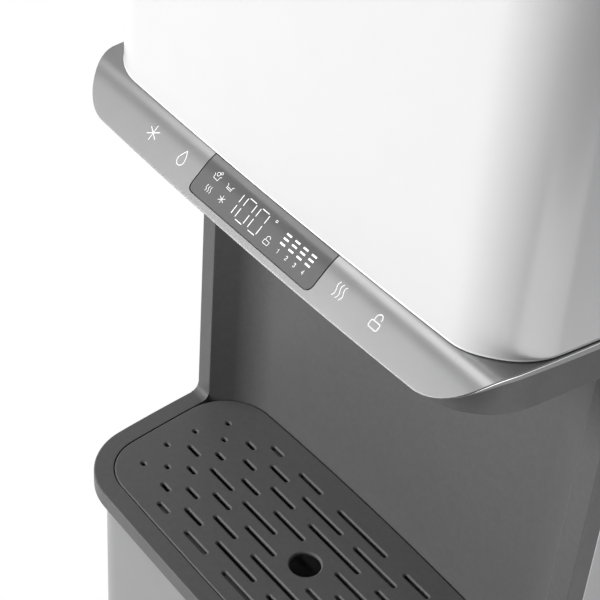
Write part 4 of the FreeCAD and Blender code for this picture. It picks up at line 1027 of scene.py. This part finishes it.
def displaySigns():
    # what the lit window shows: temperature, filter life bars and small signs
    level, fine, digit = signs["displayLevel"], signs["fineStroke"], signs["digitStroke"]
    digitLines = [[(-15.5, 14.0), (-15.5, 17.7)], [(-15.3, 8.1), (-15.3, 12.2)]]
    for left, right, top, bottom in ((-12.35, -6.25, (-11.4, -7.2), (-11.2, -6.8)),
                                     (-3.15, 3.05, (-2.3, 2.0), (-1.8, 2.4))):
        for x in (left, right):
            digitLines += [[(x, 14.0), (x, 17.7)], [(x, 8.1), (x, 12.25)]]
        digitLines += [[(x, run) for x in ends] for ends, run in ((top, 18.4), (bottom, 7.1))]
    lockBody = rounded([(8.5, 9.1), (8.4, 7.2), (11.7, 7.2), (11.9, 9.0)], [0.3] * 4, steps=2)
    shackle = smoothed([(9.1, 9.4), (9.0, 10.4), (9.7, 11.1), (10.7, 11.0), (11.2, 10.2)])
    degree, puffs = circle(7.9, 18.1, 0.55, 12), [circle(-34.6, 17.6, 0.9, 12), circle(-33.2, 18.7, 0.6, 12)]
    cup = [(-36.8, 17.1), (-36.1, 16.7), (-36.0, 15.1), (-32.9, 14.9), (-32.7, 16.8), (-32.0, 17.2)]
    glass = [(-26.9, 17.3), (-26.3, 16.9), (-26.2, 15.2), (-23.1, 15.0), (-23.2, 16.7), (-22.4, 17.2)]
    waves = [[(-35.6, 11.3), (-35.9, 9.7), (-35.1, 9.0), (-35.5, 8.1)],
             [(-34.1, 11.1), (-34.3, 9.7), (-33.7, 9.1), (-33.9, 8.0)],
             [(-32.7, 11.3), (-32.9, 10.0), (-32.2, 9.2), (-32.5, 8.1)]]
    fineLines = [shackle, cup, glass, [(-25.9, 15.9), (-23.6, 15.8)]] + [smoothed(wave, 4) for wave in waves]
    shapes = [stroke(line, digit, level) for line in digitLines]
    for number, x in enumerate((16.4, 22.2, 27.9, 33.65), start=1):
        bars = [[(x, run), (x + signs["barLength"], run)] for run in (17.0, 14.7, 12.2)]
        shapes += [stroke(line, signs["barThickness"], level, roundEnds=False) for line in bars]
        fineLines.append([(x + 1.4 + signs["numberWidth"] * a, 7.7 + signs["numberHeight"] * b)
                          for a, b in numberLines[number]])
    shapes += [stroke(line, fine, level, closed=True) for line in (degree, lockBody, *puffs)]
    shapes += [stroke(line, fine, level) for line in fineLines]
    shapes += flakeStrokes((-24.3, 9.9), [(-26.2, 10.7), (-24.4, 11.7), (-22.7, 10.9), (-22.7, 8.9),
                                          (-24.3, 7.9), (-26.1, 8.8)], fine, level)
    return joined(shapes)


# the touch signs' ink glows a little, as painted light
addPiece("touch_signs", touchSigns(), slot="white_plastic", finish="sign_ink", weighted=False)
addPiece("display_signs", displaySigns(), slot="white_plastic", finish="sign_light", weighted=False)
print("signs made")


# Outlet under the head

outlet = {
    "depth": 62.1,
    "bore": 5.0,
    "tip": 9.0,
    "flange": 20.0,
    "neck": 17.0,
}


def makeOutlet():
    low = overTray(casing["bottom"])
    bore, tip, wide, neck = (outlet[key] for key in ("bore", "tip", "flange", "neck"))
    corners = [(bore, -16), (tip, -16), (11.0, -14), (14.6, -2.6), (wide, -2.0), (wide, 0), (neck, 0),
               (neck, 14), (bore, 14)]
    radii = [0.6, 0.8, 2.0, 1.2, 0.6, 0.1, 0.2, 0.5, 0.3]
    profile = [(radius, low + height) for radius, height in rounded(corners, radii, steps=3)]
    return turned(profile + profile[:1], 0, yAt(outlet["depth"]))


addPiece("outlet_spout", makeOutlet(), "outlet_nozzle")


# Drip tray and the inside of the platform

tray = {
    "edgePlay": 0.8,
    "top": -2.8,
    "bottom": -24.0,
    "wall": 2.0,
    "floorRound": 5.0,
    "flangeThickness": 2.7,
    "flangeEdge": 0.5,
    "flangeOverlap": 0.6,
}


def makeBasin():
    high, low = overTray(tray["top"]), overTray(tray["bottom"])
    wall, outer = tray["wall"], tray["floorRound"]
    inner = outer - wall
    section = [(outer + 6, low + wall)] + arc(outer, low + outer, inner, 270, 180, 5)
    section += [(wall, high - 0.4), (wall - 0.4, high), (wall - 0.9, high), (0, high - 2.0)]
    return capped(closedPath(basinPlan), section + arc(outer, low + outer, outer, 180, 270, 6))


addPiece("tray_basin", makeBasin(), "drip_tray", body="tray")
flangeOutlines = [outlineOf(closedPath(insetPlan(grillePlan, tray["edgePlay"]))),
                  outlineOf(closedPath(insetPlan(basinPlan, tray["flangeOverlap"])))]
addPlate("tray_flange", flangeOutlines, tray["flangeThickness"], tray["flangeEdge"],
         (0, 0, overTray(tray["top"])), slot="dark_plastic", body="tray")
softenedNode("tray_well", "tray_tub", 0.5)
print("tray made")


# Flanks

flank = {
    "sheet": 1.6,
    "columnFront": 105.6,
    "columnTop": 229.1,       # over the tray
    "rimHeight": 10.2,
    "ledge": 13.1,
    "topLedge": 6.0,
    "ledgeStart": 0.5,
    "ledgeBack": 340.0,
    "lowerFront": 57.0,
    "returnWidth": 7.4,
    "foldRadius": 1.3,
    "bottom": 75.0,
}


def flankPath(p, startDepth):
    # right flank of a plan from a depth round to the opening in the back
    x, y = sideAt(p, startDepth), yAt(startDepth)
    outward = Vector((x - (p["half"] - p["sideRadius"]), y)).normalized()
    return [(x, y, outward.x, outward.y)] + [point for point in halfPath(p, endX=machine["rearGap"])
                                             if point[0] > 0 and point[1] > y + 2.0]


def flankShell(p, startDepth, low, high, returnWidth=0.0):
    sheet = flank["sheet"]
    path = flankPath(p, startDepth)
    outer, inner = outlineOf(path), outlineOf(path, sheet)
    if returnWidth:
        x, y = outer[0]
        front = rounded([(x - returnWidth, y + sheet), (x - returnWidth, y), outer[0], outer[1]],
                        [0, 0.4, flank["foldRadius"], 0], steps=5)[:-1]
        inner[:2] = [(inner[1][0], y + sheet)]
    else:
        front = rounded([inner[0], outer[0], outer[1]], [0, 0.5, 0], steps=3)[:-1]
        inner = inner[1:]
    return upright(front + outer[1:] + inner[::-1], low, high)


def columnFlank():
    # sheet with a ledge turned inward at its foot and a narrower one under the casing
    low, high, sheet = overTray(-flank["rimHeight"]), overTray(flank["columnTop"]), flank["sheet"]
    shapes = [flankShell(rimPlan, flank["columnFront"], low, high)]
    path = [point for point in flankPath(rimPlan, flank["columnFront"])
            if point[1] < yAt(flank["ledgeBack"])]
    for width, level in ((flank["ledge"], low), (flank["topLedge"], high - sheet)):
        outline = outlineOf(path, flank["ledgeStart"]) + outlineOf(path[::-1], width)
        shapes.append(upright(outline, level, level + sheet))
    return joined(shapes)


def lowerFlank():
    return flankShell(lowerPlan, flank["lowerFront"], flank["bottom"], overTray(-flank["rimHeight"]),
                      flank["returnWidth"])


for side, turnedOver in (("right", lambda shape: shape), ("left", flipped)):
    addPiece("column_flank_" + side, turnedOver(columnFlank()), "column_side_" + side)
    addPiece("lower_flank_" + side, turnedOver(lowerFlank()), "lower_side_" + side)
print("flanks made")


# Door of the lower body

door = {
    "low": 78.0,
    "topGap": 0.6,
    "wall": 2.5,
    "seamDepth": 55.0,
    "hingeDepth": 50.0,
    "spine": 5.0,
    "bore": 2.56,
    "pinReach": 16.0,
    "edgeRound": 1.6,
    "flangeWidth": 10.0,
    "sideFlangeWidth": 3.9,
    "flangeDepth": 44.0,
    "ribHeights": (200.0, 322.0, 444.0, 566.0),
    "ribPlaces": (-84.0, -28.0, 28.0, 84.0),
    "ribEnd": 40.0,
    "ribReach": 5.0,
    "ribWall": 1.6,
    "catchHeights": (330.0, 410.0),
    "catchDepths": (46.5, 49.0),
}


def makeDoor():
    low, high = door["low"], overTray(-flank["rimHeight"]) - door["topGap"]
    wall, edge, rib, reach = door["wall"], door["edgeRound"], door["ribWall"] / 2, door["ribReach"]
    edgeX = sideAt(lowerPlan, door["hingeDepth"])
    right = halfPath(lowerPlan, endDepth=door["seamDepth"])
    left = mirrored(halfPath(lowerPlan, endDepth=door["hingeDepth"])[:0:-1])

    def section(x, y):
        # turned-in edges that stop before the hinge and the seam
        width = door["flangeWidth"] if y < yAt(door["flangeDepth"]) else door["sideFlangeWidth"]
        return rounded([(0, low), (0, high), (width, high), (width, high - wall), (wall, high - wall),
                        (wall, low + wall), (width, low + wall), (width, low)],
                       [edge, edge, 0.4, 0.2, 0.6, 0.6, 0.2, 0.4], steps=4)

    bore, deep, spine = door["bore"], door["pinReach"], door["spine"]
    half = [(0, deep), (bore, deep), (bore, 0.3), (bore + 0.3, 0), (spine - 0.4, 0), (spine, 0.4)]
    profile = [(radius, low + inward) for radius, inward in half]
    profile += [(radius, high - inward) for radius, inward in half[::-1]]
    parts = [sweep(left + right, section)]
    parts += [turned(profile, door["spine"] - edgeX, yAt(door["hingeDepth"]), steps=40)]
    inner = insetPlan(lowerPlan, wall - 0.2)
    ribPath = openPath(inner, endDepth=door["ribEnd"])
    for height in door["ribHeights"]:
        top, bottom = height + rib, height - rib
        parts.append(sweep(ribPath, [(0, bottom), (0, top), (reach - 0.3, top), (reach, height),
                                     (reach - 0.3, bottom)]))
    for x in door["ribPlaces"]:
        front = yAt(inner["front"]) + inner["frontRadius"] - math.sqrt(inner["frontRadius"] ** 2 - x ** 2)
        parts.append(softBlock((x - rib, front, low + 1.0), (x + rib, front + reach, high - 1.0), 0.25))
    (catchLow, catchHigh), (catchFront, catchBack) = door["catchHeights"], door["catchDepths"]
    parts.append(softBlock((edgeX - 20.0, yAt(catchFront), catchLow),
                           (edgeX - 1.0, yAt(catchBack), catchHigh), 0.4, segments=2))
    return joined(parts)


addPiece("bowed_door", makeDoor(), "front_door", finish="silver_door", body="door")
softenedNode("door_strike", "strike_plate", 0.25, "door")
softenedNode("door_magnet", "magnet_case", 0.4)
softenedNode("hinge_pin_top", "door_pin_top", 0.25)
softenedNode("hinge_pin_bottom", "door_pin_bottom", 0.25)
print("door made")


# Filter compartment

cartridge = {
    "places": {"sediment": -88.5, "carbon": -29.5, "membrane": 29.5, "polishing": 88.5},
    "depth": 58.0,
    "bottom": 282.0,
    "radius": 27.0,
    "neckHeight": 312.0,
    "neck": 16.0,
    "spigot": 11.0,
    "sealDepth": 1.4,
    "gripRibs": 36,
    "gripHeight": (42.0, 70.0),
    "gripDepth": 0.7,
}


def cartridgeProfile():
    radius, top, neck, spigot = (cartridge[key] for key in ("radius", "neckHeight", "neck", "spigot"))
    seal = spigot - cartridge["sealDepth"]
    # corners as (radius, height, rounding): foot, rings round the case, shoulder, neck and seal grooves
    corners = [(0, 0, 0), (radius - 4, 0, 3), (radius, 5, 3), (radius, 30, 1), (radius - 1.5, 32, 0.8),
               (radius - 1.5, 37, 0.8), (radius, 39, 1), (radius, 76, 0.8), (radius - 0.8, 78, 0.6),
               (radius - 0.8, top - 40, 0.6), (radius, top - 38, 1), (radius, top - 34, 3),
               (radius - 3, top - 24, 5), (radius - 9, top - 16, 3), (neck, top - 13, 1.5),
               (neck, top - 2, 0.8), (spigot, top - 2, 0.6), (spigot, top + 2, 0.4), (seal, top + 3, 0.4),
               (seal, top + 6, 0.4), (spigot, top + 7, 0.4), (spigot, top + 10, 0.4), (seal, top + 11, 0.4),
               (seal, top + 13, 0.3), (spigot, top + 14, 0.4), (spigot - 1.0, top + 18, 0.6),
               (0, top + 18, 0)]
    return rounded([corner[:2] for corner in corners], [corner[2] for corner in corners], steps=3)


def makeCartridge(x):
    radius, top, neck = cartridge["radius"], cartridge["neckHeight"], cartridge["neck"]
    low, high = cartridge["gripHeight"]
    steps = cartridge["gripRibs"] * 4
    profile = [point for point in cartridgeProfile() if not low - 1 < point[1] < high + 1]
    split = next(index for index, point in enumerate(profile) if point[1] > high)
    profile[split:split] = [(radius, middle + shift) for middle in (low, high) for shift in (-0.8, 0, 0.8)]
    verts, faces = turned(profile, 0, 0, steps=steps)
    share = 1 - cartridge["gripDepth"] / radius
    for step in range(steps):
        for index in (split + 2, split + 3):
            if step % 4 in (1, 2):
                px, py, pz = verts[step * len(profile) + index]
                verts[step * len(profile) + index] = (px * share, py * share, pz)
    middle, low = yAt(cartridge["depth"]), cartridge["bottom"]
    reach, lock = radius - 1, low + top
    shapes = [([(px + x, py + middle, pz + low) for px, py, pz in verts], faces),
              softBlock((x - 2.5, middle - reach, low - 6), (x + 2.5, middle + reach, low + 1), 1.6, 3)]
    for side in (-1, 1):      # lugs that lock under the head
        near, far = sorted((side * (neck - 2.0), side * (neck + 0.7)))
        shapes.append(softBlock((x + near, middle - 4.6, lock - 6), (x + far, middle + 4.6, lock - 3), 0.3))
    return joined(shapes)


for stage, x in cartridge["places"].items():
    addPiece(stage + "_cartridge", makeCartridge(x), stage + "_filter", body=stage + "_filter_cartridge")
for nodeName, pieceName, width in (
        ("filter_bay", "bay_moulding", 0.8), ("filter_manifold", "cartridge_head", 0.8),
        ("pump_motor", "booster_motor", 0.6), ("pump_head", "booster_head", 0.6),
        ("pump_cradle", "motor_cradle", 0.6), ("inlet_valve", "solenoid_valve", 0.4)):
    softenedNode(nodeName, pieceName, width)
print("filter compartment made")


# Plinth and feet

plinth = {
    "inset": 9.6,
    "backInset": 4.0,
    "floor": 12.0,
    "floorWall": 4.0,
    "stepHeight": 66.0,
    "top": 75.0,
    "wall": 3.0,
    "round": 3.0,
    "collarInset": 0.6,
    "collarWidth": 12.0,
    "ledge": 101.0,
    "ledgeDrop": 4.0,
    "ribTop": 40.0,
    "ribDepths": (110.0, 187.0, 283.0),
    "ribPlaces": (-100.0, 0.0, 100.0),
    "footRadius": 17.0,
    "footPlaces": {"foot_front_left": (-100.0, 60.0), "foot_front_right": (100.0, 60.0),
                   "foot_back_left": (-100.0, 300.0), "foot_back_right": (100.0, 300.0)},
}


def makePlinth():
    body = insetPlan(lowerPlan, plinth["inset"], back=machine["backDepth"] - plinth["backInset"])
    collar = insetPlan(lowerPlan, plinth["collarInset"], back=machine["backDepth"])
    low, high, top, wall, edge = (plinth[key] for key in ("floor", "stepHeight", "top", "wall", "round"))
    width, floorTop, ribTop = plinth["collarWidth"], low + plinth["floorWall"], plinth["ribTop"]
    section = [(wall + 4, floorTop), (wall, floorTop), (wall, high + 1), (0, high + 1)]
    section += arc(edge, low + edge, edge, 180, 270, 5)
    collarSection = rounded([(0, high), (0, top), (width, top), (width, high)], [1.0, 0.8, 0.5, 0.5])
    ledge = outlineOf(openPath(insetPlan(body, 1.0), endDepth=plinth["ledge"]))
    shapes = [capped(closedPath(body), section), sweep(closedPath(collar), collarSection, closed=True),
              upright(ledge, top - plinth["ledgeDrop"], top - 0.02)]
    shapes += [softBlock((-130, yAt(depth), low + 1), (130, yAt(depth + 3), ribTop), 0.4)
               for depth in plinth["ribDepths"]]
    shapes += [softBlock((x - 1.5, yAt(28), low + 1), (x + 1.5, yAt(338), ribTop), 0.4)
               for x in plinth["ribPlaces"]]
    return joined(shapes)


def makeFoot(x, depth):
    radius, top = plinth["footRadius"], plinth["floor"]
    corners = [(0, 0.6), (radius - 5, 0.6), (radius - 5, 0), (radius, 0), (radius + 1.0, 1.0),
               (radius + 0.2, 5.0), (radius - 0.6, 5.4), (radius - 0.6, 6.4), (radius, 6.8),
               (radius - 1.0, top), (0, top)]
    radii = [0, 0.2, 0.3, 0.6, 0.5, 0.4, 0.2, 0.2, 0.4, 0.8, 0]
    return turned(rounded(corners, radii, steps=3), x, yAt(depth), steps=48)


addPiece("plinth_pan", makePlinth(), "base_pan")
for name, (x, depth) in plinth["footPlaces"].items():
    addPiece("rubber_" + name, makeFoot(x, depth), name)
print("plinth and feet made")


# Back of the machine

rear = {
    "half": 108.0,
    "sheet": 1.6,
    "sheetEdge": 0.25,
    "corner": 8.0,
    "jointCorner": 0.5,
    "split": 200.0,
    "jointGap": 0.4,
    "top": 1154.0,
    "bottom": 66.0,
    "slotHalf": 34.0,
    "slotMiddle": 44.0,
    "slotHeight": 6.0,
    "slotRound": 2.0,
    "slotLevels": [*range(260, 420, 20), *range(480, 900, 20), *range(1000, 1100, 20)],
    "opening": (-80.0, 80.0, 96.0, 196.0),
    "openingCorner": 0.6,
}
screw = {
    "x": 101.5,
    "levels": (84, 188, 212, 440, 660, 880, 1120),
    "hole": 2.3,
    "head": 4.2,
    "height": 2.0,
    "shank": 2.0,
    "edge": 0.5,
    "crown": 1.6,
    "slotHalf": 2.2,
    "slotDepth": 1.1,
    "slotWidth": 0.9,
}
ontoBack = Matrix(((-1, 0, 0, 0), (0, 0, 1, 0), (0, 1, 0, 0), (0, 0, 0, 1)))


def rearPlate(name, node, low, high, radii, holes):
    outlines = [roundedRectangle(-rear["half"], rear["half"], low, high, radii, steps=6), *holes]
    outlines += [circle(side * screw["x"], z, screw["hole"], 20)
                 for z in screw["levels"] if low < z < high for side in (1, -1)]
    addPlate(name, outlines, rear["sheet"], rear["sheetEdge"],
             (0, yAt(machine["backDepth"] + rear["sheet"]), 0), node, ontoBack)


def coolingSlots():
    half, rise = rear["slotHalf"], rear["slotHeight"] / 2
    for level in rear["slotLevels"]:
        for middle in (-rear["slotMiddle"], rear["slotMiddle"]):
            yield roundedRectangle(middle - half, middle + half, level - rise, level + rise,
                                   [rear["slotRound"]] * 4)


def makeScrews():
    # pan heads with a cross recess, each stopped at its own angle
    radius, high, edge, crown, shank = (screw[key] for key in ("head", "height", "edge", "crown", "shank"))
    profile = [(0, -5.6), (shank - 0.4, -5.6), (shank, -5.0), (shank, 0), (radius, 0), (radius, edge)]
    for step in range(1, 6):
        turn = math.pi / 2 * step / 5
        profile.append((radius - crown + crown * math.cos(turn), edge + (high - edge) * math.sin(turn)))
    verts, faces = turned(profile + [(0, high)], 0, 0, steps=32)
    holder = placed("screw", cleanMesh(meshOf("screw", ([(x, z, -y) for x, y, z in verts], faces))))
    arms = (screw["slotHalf"], screw["slotWidth"] / 2)
    cross = [softBlock((-long, high - screw["slotDepth"], -wide), (long, high + 1, wide), 0.1)
             for long, wide in (arms, arms[::-1])]
    head = cutMesh(holder, joined(cross), selfCut=True)
    bpy.data.objects.remove(holder)
    faces = [tuple(face.vertices) for face in head.polygons]
    back = yAt(machine["backDepth"] + rear["sheet"])
    shapes = []
    for number, level in enumerate(screw["levels"]):
        for side in (1, -1):
            turn = Matrix.Rotation(-0.7 * number - 0.4 * side, 3, "Y")
            place = Vector((side * screw["x"], back, level))
            shapes.append(([tuple(place + turn @ vert.co / mm) for vert in head.vertices], faces))
    return joined(shapes)


corner, joint = rear["corner"], rear["jointCorner"]
rearPlate("slotted_back", "rear_cover", rear["split"], rear["top"], [joint, joint, corner, corner],
          coolingSlots())
rearPlate("connection_back", "rear_lower_panel", rear["bottom"], rear["split"] - rear["jointGap"],
          [corner, corner, joint, joint], [roundedRectangle(*rear["opening"], [rear["openingCorner"]] * 4)])
addPiece("back_screws", makeScrews(), "rear_screws", weighted=False)
for nodeName, pieceName, width in (
        ("connection_pocket", "connection_sleeve", 0.5), ("connection_plate", "connection_floor", 0.3),
        ("water_inlet", "inlet_union", 0.5), ("drain_outlet", "drain_union", 0.5),
        ("switch_frames", "switch_bezels", 0.3), ("mains_inlet", "mains_socket", 0.4)):
    softenedNode(nodeName, pieceName, width)
for use in ("heating", "cooling"):
    softenedNode(use + "_switch", use + "_key", 0.35, use + "_rocker")
print("back made")


# Camera at the photograph's place and angle

view = {
    "place": (0.468691, -0.530984, 1.395202),
    "forward": (-0.58976472, 0.50169054, -0.63283819),
    "up": (-0.53127111, 0.34915508, 0.77190785),
    "focalPixels": 1722.487,
    "framePixels": 600,
    "sensor": 36.0,
}


def addCamera():
    forward, up = Vector(view["forward"]).normalized(), Vector(view["up"])
    right = forward.cross(up).normalized()
    up = right.cross(forward)
    lens = bpy.data.cameras.new("camera")
    lens.sensor_width = view["sensor"]
    lens.lens = view["focalPixels"] / view["framePixels"] * lens.sensor_width
    lens.clip_start = 0.05
    lens.clip_end = 100
    camera = placed("camera", lens)
    turn = Matrix((right, up, -forward)).transposed().to_4x4()
    camera.matrix_world = Matrix.Translation(view["place"]) @ turn
    bpy.context.scene.camera = camera


studio = {
    "worldLevel": 0.14,
    "floorHalf": 6.0,
    "floorColour": (0.5, 0.5, 0.5, 1),
    "shadowReach": 0.28,
    # each lamp: place, what it faces, width and height in metres, power in watts and beam in degrees
    "lamps": {
        "keyLamp": {"place": (-2.00, -3.55, 1.95), "aim": (0, 0, 0.9), "size": (2.0, 2.0), "power": 158,
                    "beam": 180},
        "panelLamp": {"place": (-2.1, -1.75, 2.165), "aim": (-2.1, -0.165, 0.945), "size": (2.6, 0.6),
                      "power": 6.0, "beam": 180},
        "rollLamp": {"place": (-1.10, -0.872, 2.817), "aim": (-1.10, -0.165, 0.945), "size": (1.8, 0.62),
                     "power": 12, "beam": 180},
        "sideLamp": {"place": (0.52, -0.10, 0.60), "aim": (0.15, -0.06, 0.94), "size": (0.5, 0.3),
                     "power": 0.31, "beam": 80},
        "lidLamp": {"place": (0.00, 0.70, 2.50), "aim": (0.0, 0.06, 1.16), "size": (0.4, 0.4), "power": 0.9,
                    "beam": 60},
    },
}
white = (1, 1, 1, 1)


def mixedByRays(tree, output, plain, seen):
    # plain light for the object, and white surroundings for the camera's, reflected and transmitted rays
    rays = tree.nodes.new("ShaderNodeLightPath")
    factor = rays.outputs["Is Camera Ray"]
    for kind in ("Is Glossy Ray", "Is Transmission Ray"):
        either = tree.nodes.new("ShaderNodeMath")
        either.operation = "MAXIMUM"
        tree.links.new(factor, either.inputs[0])
        tree.links.new(rays.outputs[kind], either.inputs[1])
        factor = either.outputs[0]
    mix = tree.nodes.new("ShaderNodeMixShader")
    for source, socket in ((factor, 0), (plain.outputs[0], 1), (seen.outputs[0], 2)):
        tree.links.new(source, mix.inputs[socket])
    tree.links.new(mix.outputs[0], output.inputs["Surface"])


def addWorld():
    world = bpy.data.worlds.new("studioWorld")
    tree, output = emptyTree(world, "ShaderNodeOutputWorld")
    skies = []
    for level in (studio["worldLevel"], 1.0):
        sky = tree.nodes.new("ShaderNodeBackground")
        sky.inputs["Color"].default_value = white
        sky.inputs["Strength"].default_value = level
        skies.append(sky)
    mixedByRays(tree, output, *skies)
    bpy.context.scene.world = world


def addFloor():
    # pale floor that looks white to the camera and in reflections, with a soft shadow round the feet
    half = studio["floorHalf"] / mm
    outline = [(-half, -half, 0), (half, -half, 0), (half, half, 0), (-half, half, 0)]
    floor = placed("floor", meshOf("floor", (outline, [(0, 1, 2, 3)])))
    finish = bpy.data.materials.new("floorFinish")
    tree, output = emptyTree(finish, "ShaderNodeOutputMaterial")
    matt = tree.nodes.new("ShaderNodeBsdfDiffuse")
    matt.inputs["Color"].default_value = studio["floorColour"]
    shade = tree.nodes.new("ShaderNodeAmbientOcclusion")
    shade.inputs["Color"].default_value = white
    shade.inputs["Distance"].default_value = studio["shadowReach"]
    glow = tree.nodes.new("ShaderNodeEmission")
    glow.inputs["Strength"].default_value = 1.0
    tree.links.new(shade.outputs["Color"], glow.inputs["Color"])
    mixedByRays(tree, output, matt, glow)
    floor.data.materials.append(finish)


def addLamps():
    for name, lamp in studio["lamps"].items():
        light = bpy.data.lights.new(name, "AREA")
        light.shape = "RECTANGLE"
        light.size, light.size_y = lamp["size"]
        light.energy = lamp["power"]
        light.spread = math.radians(lamp["beam"])
        holder = placed(name, light)
        holder.location = lamp["place"]
        aim = Vector(lamp["aim"]) - Vector(lamp["place"])
        holder.rotation_euler = aim.to_track_quat("-Z", "Y").to_euler()


addCamera()
addWorld()
addFloor()
addLamps()
bpy.context.scene.view_settings.view_transform = "Standard"
print("camera, floor and lamps set")

bpy.context.view_layer.update()
